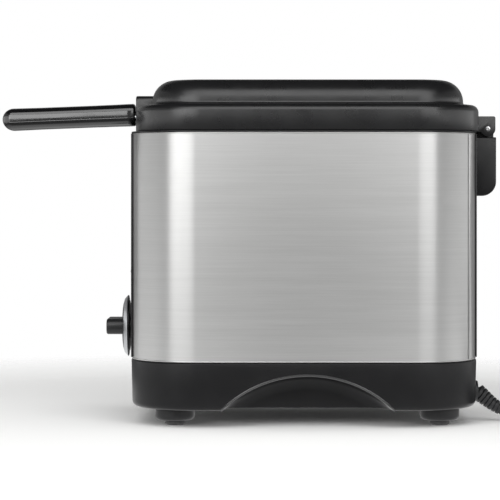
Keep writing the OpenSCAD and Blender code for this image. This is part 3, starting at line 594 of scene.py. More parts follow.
def spun(name, profile, steps=48):
    # A profile of (along, radius) pairs turned round the X axis.
    piece = newMesh(name, [(x, 0, r) for x, r in profile], [(i, i + 1) for i in range(len(profile) - 1)])
    edit(piece)
    pickAll()
    bpy.ops.mesh.spin(steps=steps, angle=2 * math.pi, center=(0, 0, 0), axis=(1, 0, 0))
    mergePoints()
    return piece


def plugMatrix():
    turn = Matrix.Rotation(math.radians(180 + plug["turn"]), 4, "Z")
    return Matrix.Translation(plug["place"]) @ turn @ Matrix.Rotation(math.radians(-plug["tilt"]), 4, "Y")


def makePlug():
    ribs = []
    for index in range(plug["ribs"]):
        rib = cube("rib", (45.5, 0, 18.2), plug["rib"])
        bevelAll(rib, 0.28, 2)
        rib.data.transform(Matrix.Rotation(2 * math.pi * index / plug["ribs"], 4, "X"))
        ribs.append(rib)
    piece = joinAll("plugBody", [spun("plugBody", plug["profile"], 72)] + ribs)
    piece.data.transform(plugMatrix())
    place(piece, "housing", "plug_plastic", plugPvc, "plug_body", clean=False)
    pins, tip, wide = [], plug["pinTip"], plug["pinRadius"]
    shape = [(52, 0), (52, wide), (tip - 1.6, wide), (tip - 0.7, wide - 0.3), (tip, wide / 2), (tip, 0)]
    for side in (-1, 1):
        pin = spun("pin", shape, 24)
        pin.data.transform(Matrix.Translation((0, side * plug["pinX"], 0)))
        pins.append(pin)
    pair = joinAll("plugPins", pins)
    pair.data.transform(plugMatrix())
    place(pair, "housing", "nickel_brass", nickel, "plug_pins", clean=False)
    return piece, pair


mainsLead = makeLead()
strainRelief = makeRelief()
plugPieces = makePlug()
print("mains lead made")


# Base and feet.
base = {
    "bottom": 12.5, "top": 46, "draft": 0.7, "edge": 4, "lip": 0.8, "wall": 2.5, "pocket": 6,
    "archRadius": 87.5, "archTop": 37.3, "archY": 2, "depth": 26, "flare": 1.5, "scoop": 11, "archEdge": 1,
    "footEdge": 2.4, "rim": 1.15, "rimIn": 0.98, "rimOut": 0.55,
    "slots": 7, "slotPitch": 9, "slotWidth": 3.6, "slotLength": 60, "slotDepth": 4,
    "bolts": [(x, y) for x in (-50, 50) for y in (-62, 70)], "boltHole": 4.3,
    "cordHole": (40, 22, 5.6),
}
body = {"hw": 95, "front": -122.5, "rear": 124.5, "corner": 46, "bow": 2}


def bodyPlan(name, shrunk, z):
    return plan(name, body["hw"] - shrunk, body["front"] + shrunk, body["rear"] - shrunk, body["corner"] - shrunk,
                body["bow"], z)


def archCutter(side):
    # A scoop: level just inside the wall, then rounding down into its back.
    inner, outer, high, soft = body["hw"] - base["depth"], body["hw"] + 2, base["archRadius"], base["scoop"]
    turns = [math.radians(90 * step / 10) for step in range(11)]
    arc = [(inner + soft * (1 - math.cos(t)), high - base["flare"] - soft * (1 - math.sin(t))) for t in turns]
    shape = [(inner, 0), *arc, (outer, high), (outer, 0)]
    piece = spun("arch", [(side * x, radius) for x, radius in shape], 180)
    piece.data.transform(Matrix.Translation((0, base["archY"], base["archTop"] - high)))
    return piece


def onArch(c, d):
    # True for an edge along the rim of a finger recess, and not for one that runs into it.
    x = abs(c.x)
    radius = base["archRadius"] - base["flare"] * (body["hw"] + 2 - x) / (base["depth"] + 2 - base["scoop"])
    away = math.hypot(c.y - base["archY"], c.z - base["archTop"] + base["archRadius"])
    return x > body["hw"] - 6 and abs(away - radius) < 0.12 and abs(d.x) < 0.7


def wallX(z):
    # Half the base's width at a height, with its draft and its rounded lower edge.
    low, edge = base["bottom"] + base["edge"], base["edge"]
    x = body["hw"] - base["draft"] * (base["top"] - z) / (base["top"] - base["bottom"])
    return x - edge + math.sqrt(edge ** 2 - max(low - z, 0) ** 2)


def makeRims():
    # A polished rounded lip along the edge of each finger recess.
    centre, radius, rims = base["archTop"] - base["archRadius"], base["archRadius"] + base["rimOut"], []
    end = math.degrees(math.asin((base["bottom"] + 0.6 - centre) / radius))
    for side in (-1, 1):
        arc = turn(base["archY"], centre, radius, end, 180 - end, 64)
        rims.append(wire("bead", [(side * (wallX(z) - base["rimIn"]), y, z) for y, z in arc], base["rim"], 3))
    place(joinAll("recessRims", rims), "housing", "base_plastic", polished, clean=False)


def makeBase():
    piece = bodyPlan("baseMoulding", 0, base["top"])
    raiseAll(piece, base["bottom"] - base["top"])
    pick(lambda c, d: near(c.z, base["bottom"]), "VERT")
    shrink = [1 - base["draft"] / body["hw"], 1 - base["draft"] / body["rear"], 1]
    bpy.ops.transform.resize(value=shrink, center_override=(0, 0, base["bottom"]))
    flatEdges(base["bottom"])
    bevel(base["edge"], 7)
    flatEdges(base["top"])
    bevel(base["lip"], 3)
    pick(lambda c, n: near(c.z, base["top"]) and n.z > 0.9)
    inset(base["wall"])
    raise_(-base["pocket"])
    leave()
    cutters = [archCutter(1), archCutter(-1)]
    for index in range(base["slots"]):
        x = (index - (base["slots"] - 1) / 2) * base["slotPitch"]
        slot = cube("slot", (x, 0, base["bottom"]), (base["slotWidth"], base["slotLength"], 2 * base["slotDepth"]))
        bevelWhere(slot, lambda c, d: abs(d.z) > 0.9, base["slotWidth"] * 0.45, 5)
        cutters.append(slot)
    cutters += [rod("boltHole", 40, base["boltHole"], 9, (x, y, base["bottom"])) for x, y in base["bolts"]]
    x, z, radius = base["cordHole"]
    cutters.append(rod("cordHole", 40, radius, 12, (x, body["rear"], z), alongY))
    combine(piece, joinAll("cutters", cutters))
    tidy(piece)
    bevelWhere(piece, onArch, base["archEdge"], 5)
    back = body["hw"] - base["depth"]
    bevelWhere(piece, lambda c, d: near(c.z, base["bottom"]) and near(abs(c.x), back) and abs(d.y) > 0.99,
               base["footEdge"], 5)
    place(piece, "housing", "base_plastic", matte, "base")


makeBase()
makeRims()
print("base made")


# Steel wrap, panels and top frame.
skin = {
    "inset": 0.8, "bottom": 46.3, "top": 208.3, "sheet": 0.7, "turnIn": 1.9, "edge": 0.55, "bead": 0.6,
    "seam": 116.4, "gap": 0.5, "panelHalf": 55, "panelBottom": 47.6, "panelTop": 208.2, "panelOut": 0.4,
    "panelSheet": 1.2,
}


def sheetRing(name, shrunk, bottom, top, turnIn):
    # A sheet that stands all round the body, with both its edges turned inwards.
    piece = bodyPlan(name, shrunk, bottom)
    raiseAll(piece, top - bottom)
    for z in (bottom, top):
        pick(lambda c, n: near(c.z, z) and abs(n.z) > 0.9)
        inset(turnIn)
        dropFaces()
    faceOutward()
    leave()
    return piece


def openPlate(piece, width, height):
    # Turns a flat plate into an upright frame of that width.
    edit(piece)
    pickAll()
    inset(width)
    dropFaces()
    pickAll()
    raise_(height)


def cutAway(piece, place, normal):
    edit(piece)
    pickAll()
    bpy.ops.mesh.bisect(plane_co=place, plane_no=normal, clear_outer=True)
    leave()


def outlinePath(shrunk, z, steps=12):
    # The body's outline as points, for a bead that runs all round it.
    hw, front, rear = body["hw"] - shrunk, body["front"] + shrunk, body["rear"] - shrunk
    corner = body["corner"] - shrunk
    corners = roundCorners(hw, front, rear, corner, steps)
    across = [(corner - hw + 2 * (hw - corner) * i / steps, front) for i in range(1, steps)]
    points = sum(corners[:3], []) + across + corners[3]
    middle = (front + rear) / 2
    return [(x, y - (body["bow"] * (1 - (x / hw) ** 2) if y < middle else 0), z) for x, y in points]


def makeSkins():
    whole = sheetRing("steelWrap", skin["inset"], skin["bottom"], skin["top"], skin["turnIn"])
    edit(whole)
    sharpEdges((skin["bottom"], skin["top"]))
    bevel(skin["edge"], 4)
    leave()
    beads = [wire("bead", outlinePath(skin["inset"] + 0.25, z), skin["bead"], 3, True)
             for z in (skin["bottom"] + 0.7, skin["top"] - 0.6)]
    rear = copyOf(whole, Matrix.Identity(4))
    rear.name = "rearSkin"
    cutAway(whole, (0, skin["seam"] - skin["gap"] / 2, 0), (0, 1, 0))
    cutAway(rear, (0, skin["seam"] + skin["gap"] / 2, 0), (0, -1, 0))
    for piece, node in ((whole, "steel_wrap"), (rear, "rear_skin")):
        thicken(piece, skin["sheet"])
        piece = joinAll(piece.name, [piece] + beads) if node == "steel_wrap" else piece
        place(piece, "housing", "brushed_stainless", stainless, node)


def makePanel(name, side):
    extra = skin["panelOut"]
    front = body["front"] - (extra if side < 0 else 0)
    rear = body["rear"] + (extra if side > 0 else 0)
    piece = plan(name, body["hw"], front, rear, body["corner"], body["bow"], skin["panelBottom"])
    raiseAll(piece, skin["panelTop"] - skin["panelBottom"])
    pick(lambda c, n: abs(n.z) > 0.9)
    dropFaces()
    faceOutward()
    leave()
    for out in (1, -1):
        cutAway(piece, (out * skin["panelHalf"], 0, 0), (out, 0, 0))
    cutAway(piece, (0, 0, 0), (0, -side, 0))
    thicken(piece, skin["panelSheet"])
    return piece


dial = {
    "z": 67, "labels": ("OFF", "130", "150", "160", "170", "180", "190"), "from": 180, "to": -30,
    "radius": 30.5, "sideOut": 3.2, "size": 5.6, "tickMiddle": 25.9, "tickLength": 2.6, "boss": (10, 2.3),
    "lampX": 18, "lampZ": 108, "lampRadius": 3,
}


def panelDepth(x):
    return body["front"] - skin["panelOut"] - body["bow"] * (1 - (x / body["hw"]) ** 2)


def printedDial():
    # Raised figures and ticks round the knob, hottest to the right, as on any thermostat dial.
    marks, count = [], len(dial["labels"]) - 1

    def dialAngle(share):
        return math.radians(dial["from"] + (dial["to"] - dial["from"]) * share)

    for index, label in enumerate(dial["labels"]):
        angle = dialAngle(index / count)
        radius = dial["radius"] + dial["sideOut"] * math.cos(angle) ** 2
        x, z = radius * math.cos(angle), dial["z"] + radius * math.sin(angle)
        bpy.ops.object.select_all(action="DESELECT")
        bpy.ops.object.text_add(location=(x, panelDepth(x) + 0.1, z - dial["size"] * 0.34), rotation=alongY)
        text = bpy.context.object
        text.data.body = label
        text.data.size = dial["size"]
        text.data.align_x = "CENTER"
        text.data.extrude = 0.16
        text = toMesh(text)
        bpy.ops.object.transform_apply(location=True, rotation=True, scale=True)
        marks.append(text)
    for index in range(2 * count + 1):
        angle, shorter = dialAngle(index / (2 * count)), index % 2
        middle = dial["tickMiddle"] - 0.5 * shorter
        x, z = middle * math.cos(angle), dial["z"] + middle * math.sin(angle)
        tick = cube("tick", (0, 0, 0), (dial["tickLength"] - shorter, 0.3, 0.55))
        tick.data.transform(Matrix.Translation((x, panelDepth(x) - 0.02, z)) @ Matrix.Rotation(-angle, 4, "Y"))
        marks.append(tick)
    piece = joinAll("dialMarks", marks)
    return place(piece, "housing", "panel_plastic", markPaint, clean=False)


def makeFrontPanel():
    piece = makePanel("frontPanel", -1)
    holes = [rod("lampHole", 40, dial["lampRadius"] + 0.1, 12, (x, body["front"] - 2, dial["lampZ"]), alongY)
             for x in (-dial["lampX"], dial["lampX"])]
    combine(piece, joinAll("holes", holes))
    roundEdges(piece, 0.35)
    radius, high = dial["boss"]
    middle = panelDepth(0) - high / 2
    boss = rod("boss", 48, radius, high + 0.8, (0, middle + 0.4, dial["z"]), alongY)
    bevelWhere(boss, lambda c, d: c.y < middle and near(d.y, 0, 0.2), 0.6, 3)
    place(joinAll("frontPanel", [piece, boss]), "housing", "panel_plastic", panelMoulding, "front_panel")
    printedDial()


def makeLamps():
    for name, node, side, look, slotName in (("powerLamp", "lamp_power", -1, redLens, "red_lens"),
                                             ("readyLamp", "lamp_ready", 1, greenLens, "green_lens")):
        x = side * dial["lampX"]
        lens = start("uv_sphere", name, segments=40, ring_count=20, radius=dial["lampRadius"],
                     location=(x, panelDepth(x) + 0.2, dial["lampZ"]), scale=(1, 0.55, 1))
        edit(lens)
        pick(lambda c, d: c.y > panelDepth(x) + 0.1, "VERT")
        bpy.ops.transform.translate(value=(0, 7, 0))
        leave()
        place(lens, "housing", slotName, look, node)


topFrame = {"bottom": 208.5, "top": 209.5, "opening": 14, "edge": 0.35}


def makeTopFrame():
    piece = bodyPlan("topFrame", 0, topFrame["bottom"])
    openPlate(piece, topFrame["opening"], topFrame["top"] - topFrame["bottom"])
    leave()
    roundEdges(piece, topFrame["edge"])
    place(piece, "housing", "frame_plastic", frameMoulding, "top_frame")


makeSkins()
makeFrontPanel()
rearPanel = makePanel("rearPanel", 1)
roundEdges(rearPanel, 0.35)
place(rearPanel, "housing", "panel_plastic", panelMoulding, "rear_panel")
makeLamps()
makeTopFrame()
print("skins and panels made")


# Bowl.
bowl = {
    "inset": 20.2, "corner": 28, "flange": 5.8, "step": 2.2, "top": 208.4, "wall": 1.9, "floor": 92.2, "taper": 5,
    "floorRound": 11, "lipRound": 1.6, "marks": ((150, 28), (178, 20)),
}


def makeBowl():
    out = bowl["inset"] - bowl["flange"]
    piece = plan("oilBowl", body["hw"] - out, body["front"] + out, body["rear"] - out, bowl["corner"] + bowl["flange"],
                 body["bow"], bowl["top"])
    edit(piece)
    pickAll()
    inset(bowl["flange"] + bowl["step"])
    bpy.ops.mesh.inset(thickness=bowl["taper"], depth=bowl["floor"] - bowl["top"])
    bpy.ops.mesh.region_to_loop()
    bevel(bowl["floorRound"], 8)
    sharpEdges((bowl["top"],), 0.8)
    bevel(bowl["lipRound"], 4)
    leave()
    thicken(piece, bowl["wall"])
    rearWall = body["rear"] - bowl["inset"] - bowl["step"]
    marks = []
    for z, wide in bowl["marks"]:
        lean = bowl["taper"] * (bowl["top"] - z) / (bowl["top"] - bowl["floor"])
        mark = cube("mark", (0, rearWall - lean, z), (wide, 1.2, 1.1))
        bevelAll(mark, 0.4, 2)
        marks.append(mark)
    place(joinAll("oilBowl", [piece] + marks), "housing", "nonstick_aluminium", coating, "bowl", clean=False)


makeBowl()
print("bowl made")


# Lid.
lid = {
    "hw": 94.5, "front": -119, "rear": 126.2, "corner": 46, "bow": 1.5, "bottom": 209.8, "shoulder": 228.5,
    "top": 246.4, "wall": 2.2, "shoulderRound": 5.2, "domeRound": 15.5, "lipRound": 0.6, "groove": 2.2,
    "step": 11.2, "domeHw": 82.5, "domeRear": 115.2, "crown": [(0.9, 0.2), (0.78, 0.35), (0.6, 0.3), (0.4, 0.15)],
    "hood": (17, -122.5, -106.5, 237), "notch": (13.5, 226.5), "hoodRound": 4,
    "window": (42, -62, 22, 14), "vent": (36, 44, 78, 6), "slotX": 29, "slots": [48.4 + 5.7 * j for j in range(5)],
    "slotWidth": 2.6, "screws": [(x, y) for x in (-62, 62) for y in (-78, 90)],
    "innerTop": 226, "innerBottom": 213, "innerInset": 5.8, "sheet": 0.8, "seal": (5, 2.5, 5), "proud": 0.9,
}
hinge = {
    "y": 135.2, "z": 212.4, "pin": 1.85, "knuckle": 5.6, "knuckleTop": 221.5, "knuckleX": (21, 30), "knuckleRound": 1.4,
}


def lidPlan(name, shrunk, z):
    return plan(name, lid["hw"] - shrunk, lid["front"] + shrunk, lid["rear"] - shrunk, lid["corner"] - shrunk,
                lid["bow"], z)


def pillPlate(name, settings, bottom, top, shrunk=0.0):
    hw, front, rear, corner = settings
    piece = plan(name, hw - shrunk, front + shrunk, rear - shrunk, corner - shrunk, 0, bottom, 8)
    raiseAll(piece, top - bottom)
    faceOutward()
    leave()
    return piece


def block(name, low, high, round_=0.0, steps=3):
    centre = [(a + b) / 2 for a, b in zip(low, high)]
    piece = cube(name, centre, [b - a for a, b in zip(low, high)])
    if round_:
        bevelAll(piece, round_, steps)
    return piece


def hingeRod(name, half, radius, round_=0.0, vertices=48):
    # A rod along the hinge's axis.
    piece = rod(name, vertices, radius, 2 * half, (0, hinge["y"], hinge["z"]), alongX)
    if round_:
        bevelWhere(piece, lambda c, d: near(abs(c.x), half) and near(d.x, 0), round_, 3)
    return piece


def hoodBlock():
    hw, front, rear, top = lid["hood"]
    piece = block("hood", (-hw, front, lid["bottom"]), (hw, rear, top))
    edit(piece)
    pick(lambda c, d: abs(d.y) > 0.9 and near(c.z, top), "EDGE")
    bevel(lid["hoodRound"], 6)
    pick(lambda c, d: near(c.y, front) and near(d.y, 0) and c.z > lid["bottom"] + 0.1, "EDGE")
    bevel(1.0, 3)
    leave()
    inside = block("inside", (-hw - 1, lid["front"] + 0.9, lid["bottom"] - 1), (hw + 1, rear + 1, lid["notch"][1]))
    combine(piece, inside)
    return piece


def profilePlate(name, points, x0, x1):
    # A plate of that side profile, (y, z) pairs, between two places along X.
    piece = newMesh(name, [(x0, y, z) for y, z in points], faces=[list(range(len(points)))])
    edit(piece)
    pickAll()
    bpy.ops.mesh.extrude_region_move(TRANSFORM_OT_translate={"value": (x1 - x0, 0, 0)})
    faceOutward()
    leave()
    return piece


def knuckle(side):
    y, z, r, top, small = hinge["y"], hinge["z"], hinge["knuckle"], hinge["knuckleTop"], hinge["knuckleRound"]
    inner = lid["rear"] - 1.6
    points = [(inner, lid["bottom"])] + turn(y, z, r, -152, 0, 16) + turn(y + r - small, top - small, small, 0, 90, 6)
    piece = profilePlate("knuckle", points + [(inner, top)], *sorted(side * x for x in hinge["knuckleX"]))
    bevelWhere(piece, lambda c, d: near(d.x, 0) and c.y > inner + 0.2, 0.5, 2)
    return piece


def makeLidShell():
    shell = lidPlan("lidShell", 0, lid["bottom"])
    raiseAll(shell, lid["shoulder"] - lid["bottom"])
    inset(lid["step"])
    wide, long = lid["hw"] - lid["step"], lid["rear"] - lid["front"] - 2 * lid["step"]
    front = lid["front"] + lid["step"] - lid["bow"]
    stretch = (lid["domeHw"] / wide, (lid["domeRear"] - front) / (long + lid["bow"]), 1)
    bpy.ops.transform.resize(value=stretch, center_override=(0, front, lid["shoulder"]))
    raise_(lid["top"] - lid["shoulder"])
    flatEdges(lid["top"])
    bevel(lid["domeRound"], 12)
    flatEdges(lid["bottom"])
    bevel(lid["lipRound"], 2)
    pickItems("EDGE", lambda e: levelAt(e, lid["shoulder"])
              and any(f.calc_center_median().z < lid["shoulder"] - 2 for f in e.link_faces))
    bevel(lid["shoulderRound"], 6)
    sharpEdges((lid["shoulder"],))
    bevel(lid["groove"], 5)
    pick(lambda c, n: near(c.z, lid["top"]) and n.z > 0.99)
    middle = (0, (front + lid["domeRear"]) / 2, lid["top"])
    for share, height in lid["crown"]:
        inset(0.5)
        bpy.ops.transform.resize(value=(share, share, 1), center_override=middle)
        bpy.ops.transform.translate(value=(0, 0, height))
    pick(lambda c, n: near(c.z, lid["bottom"]) and n.z < -0.99)
    dropFaces()
    leave()
    thicken(shell, lid["wall"])
    combine(shell, joinAll("blocks", [hoodBlock(), knuckle(-1), knuckle(1)]), "UNION")
    hw, top = lid["notch"]
    cutters = [block("notch", (-hw, -130, 200), (hw, -104, top), 1.0, 2),
               hingeRod("pinHole", 40, hinge["pin"] + 0.05, vertices=24),
               pillPlate("windowHole", lid["window"], 235, 260), pillPlate("ventHole", lid["vent"], 235, 260)]
    combine(shell, joinAll("cutters", cutters))
    place(shell, "lid", "lid_plastic", lidMoulding, "lid_shell")


def makeLidInner():
    tray = lidPlan("lidInner", lid["innerInset"], lid["innerBottom"])
    raiseAll(tray, lid["innerTop"] - lid["innerBottom"])
    flatEdges(lid["innerTop"])
    bevel(2.4, 5)
    pick(lambda c, n: near(c.z, lid["innerBottom"]) and n.z < -0.9)
    dropFaces()
    pick(lambda c, n: near(c.z, lid["innerTop"]) and n.z > 0.9)
    for thickness, height in ((8, 0), (1.5, -1.1), (3, 0), (1.5, 1.1)):
        inset(thickness)
        if height:
            bpy.ops.transform.translate(value=(0, 0, height))
    leave()
    thicken(tray, lid["sheet"])
    hw = lid["notch"][0]
    cutters = [block("notch", (-hw, -130, 200), (hw, -112.5, 224)), pillPlate("windowHole", lid["window"], 200, 240, 3)]
    cutters += [rod("hole", 20, 2, 30, (i * 7, lid["vent"][1] + 6.5 + j * 7, 225))
                for i in range(-4, 5) for j in range(4)]
    combine(tray, joinAll("cutters", cutters))
    place(tray, "lid", "bare_aluminium", aluminium, "lid_inner")


def makeLidSeal():
    shrunk, wide, high = lid["seal"]
    ring = lidPlan("lidSeal", shrunk, lid["bottom"])
    openPlate(ring, wide, high)
    flatEdges(lid["bottom"])
    bevel(0.8, 3)
    leave()
    hw = lid["notch"][0]
    combine(ring, block("notch", (-hw, -130, 200), (hw, -100, 240)))
    place(ring, "lid", "silicone", siliconeGrey, "lid_seal")


def toppedPlate(name, settings, bottom):
    # A plate that stands just proud of the dome, with a rounded upper edge.
    top = lid["top"] + lid["proud"]
    plate = pillPlate(name, settings, bottom, top, 0.1)
    bevelWhere(plate, lambda c, d: near(c.z, top) and near(d.z, 0), 0.6, 3)
    return plate


def makeVentGrille():
    plate, x = toppedPlate("ventGrille", lid["vent"], lid["top"] - 2.7), lid["slotX"]
    slots = [block("slot", (-x, y, 230), (x, y + lid["slotWidth"], 260), 1.2) for y in lid["slots"]]
    combine(plate, joinAll("slots", slots))
    edit(plate)
    sharpEdges((lid["top"] + lid["proud"],))
    bevel(0.35, 2)
    leave()
    skirt = pillPlate("skirt", lid["vent"], lid["top"] - 5.6, lid["top"] - 2.9, 0.1)
    combine(skirt, pillPlate("inside", lid["vent"], lid["top"] - 7, lid["top"] - 2, 1.5))
    place(joinAll("ventGrille", [plate, skirt]), "lid", "lid_plastic", frameMoulding, "vent_grille")


def makeWindow():
    pane = toppedPlate("lidWindow", lid["window"], lid["top"] - 2.3)
    place(pane, "lid", "window_glass", glass, "lid_window")
    low, high = lid["innerTop"] + 0.1, lid["top"] - 2.35
    ring = pillPlate("windowFrame", lid["window"], low, high, 0.1)
    combine(ring, pillPlate("inside", lid["window"], low - 1, high + 1, 2))
    roundEdges(ring, 0.3, 2)
    place(ring, "lid", "frame_plastic", frameMoulding, "window_frame")


makeLidShell()
makeLidInner()
makeLidSeal()
makeVentGrille()
makeWindow()
print("lid made")


# Screws.
screws = {
    "cross": (0.62, 0.2, 0.55), "lid": (3.2, 1.8, 1.5, 9.2), "bracket": (3.6, 2.4, 2, 16.5),
    "handle": (2.9, 1.9, 1.5, 8.8),
}


def screw(radius, high, shank, length):
    # A pan head above z = 0 with a cross recess, and its shank below.
    head = rod("head", 40, radius, high, (0, 0, high / 2))
    bevelWhere(head, lambda c, d: near(c.z, high) and near(d.z, 0), high * 0.55, 5)
    long, wide, deep = (2 * size * share for size, share in zip((radius, radius, high), screws["cross"]))
    arms = [cube("arm", (0, 0, high), (*size, deep)) for size in ((long, wide), (wide, long))]
    combine(arms[0], arms[1], "UNION")
    combine(head, arms[0])
    stem = rod("shank", 24, shank, length + 0.2, (0, 0, 0.1 - length / 2))
    bevelWhere(stem, lambda c, d: c.z < -length / 2 and near(d.z, 0), shank * 0.4, 2)
    return joinAll("screw", [head, stem])


def placeScrews(kind, matrices, carrier):
    model = screw(*screws[kind])
    copies = [copyOf(model, matrix) for matrix in matrices]
    bpy.data.objects.remove(model)
    place(joinAll(kind + "Screws", copies), carrier, "zinc_steel", zinc, kind + "_screws", clean=False)


def makeScrews():
    down = Matrix.Rotation(math.pi, 4, "X")
    back = Matrix.Rotation(math.radians(-90), 4, "X")
    placeScrews("lid", [Matrix.Translation((x, y, 225.2)) @ Matrix.Rotation(0.3 * i, 4, "Z") @ down
                        for i, (x, y) in enumerate(lid["screws"])], "lid")
    placeScrews("bracket", [Matrix.Translation((x, 136, z)) @ back @ Matrix.Rotation(0.02 * x * z, 4, "Z")
                            for x, z in bracket["screws"]], "housing")
    placeScrews("handle", [handleFrame @ Matrix.Translation((0, y, -5.5)) @ down @ Matrix.Rotation(0.7 * y, 4, "Z")
                           for y in handle["screws"]], "basket")


# Hinge.
bracket = {
    "hw": 30, "front": 124.9, "rear": 141.4, "top": 206.2, "high": 42.9, "round": 10.5, "wall": 2.5, "barrel": 5.2,
    "barrelX": 20.4, "screws": [(x, z) for x in (-18, 18) for z in (176, 194)], "boss": 4.6, "well": 3.9,
}


def makeBracket():
    low, top, rear, round_ = bracket["top"] - bracket["high"], bracket["top"], bracket["rear"], bracket["round"]
    hw, front, wall, reach = bracket["hw"], bracket["front"], bracket["wall"], bracket["barrelX"]
    outer = [(front, low)] + turn(rear - round_, low + round_, round_, -90, 0, 12) + [(rear, top), (front, top)]
    piece = profilePlate("hingeBracket", outer, -hw, hw)
    bevelWhere(piece, lambda c, d: abs(c.x) > hw - 0.1 and near(d.x, 0) and c.y > front + 0.1, 1.5, 4)
    bevelWhere(piece, lambda c, d: near(c.z, top) and near(c.y, rear, 1) and abs(d.x) > 0.9, 0.8, 3)
    inner = [(front - 1, low + wall)] + turn(rear - round_, low + round_, round_ - wall, -90, 0, 8)
    inner += [(rear - wall, top - wall), (front - 1, top - wall)]
    combine(piece, profilePlate("inside", inner, wall - hw, hw - wall))
    back = rear - 1.5
    bosses = [rod("boss", 40, bracket["boss"], back - front, (x, (back + front) / 2, z), alongY)
              for x, z in bracket["screws"]]
    combine(piece, joinAll("bosses", bosses), "UNION")
    for x, z in bracket["screws"]:
        combine(piece, rod("well", 40, bracket["well"], 12, (x, rear, z), alongY))
        combine(piece, rod("hole", 24, 2, 60, (x, rear - 10, z), alongY))
    barrel = hingeRod("barrel", reach, bracket["barrel"], 0.5, 64)
    web = block("web", (-reach, hinge["y"] - 7, top - 2), (reach, hinge["y"] + 5.2, hinge["z"]), 0.4, 2)
    combine(barrel, web, "UNION")
    combine(barrel, hingeRod("pinHole", 40, hinge["pin"], vertices=32))
    combine(piece, barrel, "UNION")
    place(piece, "housing", "frame_plastic", frameMoulding, "hinge_bracket")


def makePin():
    pin = hingeRod("hingePin", 30.6, hinge["pin"] - 0.02, 0.35, 40)
    dimples = [start("cone", "dimple", vertices=24, radius1=0.9, radius2=0, depth=0.9,
                     location=(side * 30.25, hinge["y"], hinge["z"]), rotation=(0, -side * math.radians(90), 0))
               for side in (-1, 1)]
    combine(pin, joinAll("dimples", dimples))
    place(pin, "housing", "polished_steel", pinSteel, "hinge_pin")


# Knob.
knob = {"z": 67, "back": -127.5, "face": -133, "front": -144.3, "ring": 22.7, "inner": 18.8, "bar": (18, 5.75, 5)}


def lathe(name, profile, steps, y, z):
    # A profile of (towards -Y, radius) pairs turned round the knob's axis.
    piece = spun(name, profile, steps)
    piece.data.transform(Matrix.Translation((0, y, z)) @ Matrix.Rotation(math.radians(-90), 4, "Z"))
    return piece


def makeKnob():
    reach = knob["back"] - knob["front"]
    face = knob["back"] - knob["face"]
    r = knob["inner"] - 0.05
    disc = [(0.2, 0), (0.2, r), (face - 1.5, r), (face - 1.25, r - 0.2), (face - 1, r - 0.8), (face - 0.6, r - 2.2),
            (face - 0.25, r - 4.4), (face - 0.05, r - 7.5), (face, r - 11), (face, 0)]
    plate = lathe("knob", disc, 72, knob["back"], knob["z"])
    hw, half, corner = knob["bar"]
    bar = plan("bar", hw, -half, half, corner, 0, face - 1.2, 8)
    raiseAll(bar, reach - face + 1.2)
    faceOutward()
    flatEdges(reach)
    bevel(1.4, 5)
    leave()
    ribs = [rod("rib", 12, 0.55, reach - face - 3.4, (x * 1.9, side * half, (reach + face) / 2 - 0.6))
            for x in range(-6, 7) for side in (-1, 1)]
    combine(bar, joinAll("ribs", ribs))
    bar.data.transform(Matrix.Translation((0, knob["back"], knob["z"])) @ Matrix.Rotation(math.radians(90), 4, "X"))
    combine(plate, bar, "UNION")
    place(plate, "knob", "knob_plastic", knobMoulding, "knob")
    line = block("knobPointer", (-hw + 1.6, knob["front"] - 0.04, knob["z"] - 0.55),
                 (-hw + 9.5, knob["front"] + 0.4, knob["z"] + 0.55), 0.1, 2)
    place(line, "knob", "knob_plastic", markPaint, clean=False)
    ring = knob["ring"]
    profile = [(0.9, knob["inner"]), (0.9, ring - 0.5), (1.05, ring - 0.15), (1.3, ring), (1.6, ring - 0.15),
               (2, ring - 0.55), (3.8, ring - 2.6), (4.1, ring - 3.2), (4.2, ring - 3.6), (3.9, knob["inner"]),
               (0.9, knob["inner"])]
    place(lathe("knobRing", profile, 96, knob["back"], knob["z"]), "knob", "chrome_ring", satinChrome, "knob_ring")


# Handle.
handle = {
    "y": -123.6, "z": 223.5, "length": 98.5, "hw": 14, "ht": 8.25, "droop": 2.25, "stemDrop": 2, "stemX": (-8, 8),
    "stem": 2.25, "screws": (-24, -78), "well": 3,
}
handleFrame = Matrix.Translation((0, handle["y"], handle["z"])) @ Matrix.Rotation(math.radians(handle["droop"]), 4, "X")


def gripRing(y, hw, ht, count=40):
    ring = []
    for i in range(count):
        c, s = math.cos(2 * math.pi * i / count), math.sin(2 * math.pi * i / count)
        ring.append((math.copysign(abs(c) ** 0.62, c) * hw, y, math.copysign(abs(s) ** 0.62, s) * ht))
    return ring


def loft(name, rings):
    # Skins rings of equally many points, capped at both ends.
    count = len(rings[0])
    points = [p for ring in rings for p in ring]
    faces = [tuple(range(count)), tuple(range(len(points) - 1, len(points) - 1 - count, -1))]
    for r in range(len(rings) - 1):
        for i in range(count):
            j = (i + 1) % count
            faces.append((r * count + i, (r + 1) * count + i, (r + 1) * count + j, r * count + j))
    piece = newMesh(name, points, faces=faces)
    tidy(piece)
    return piece


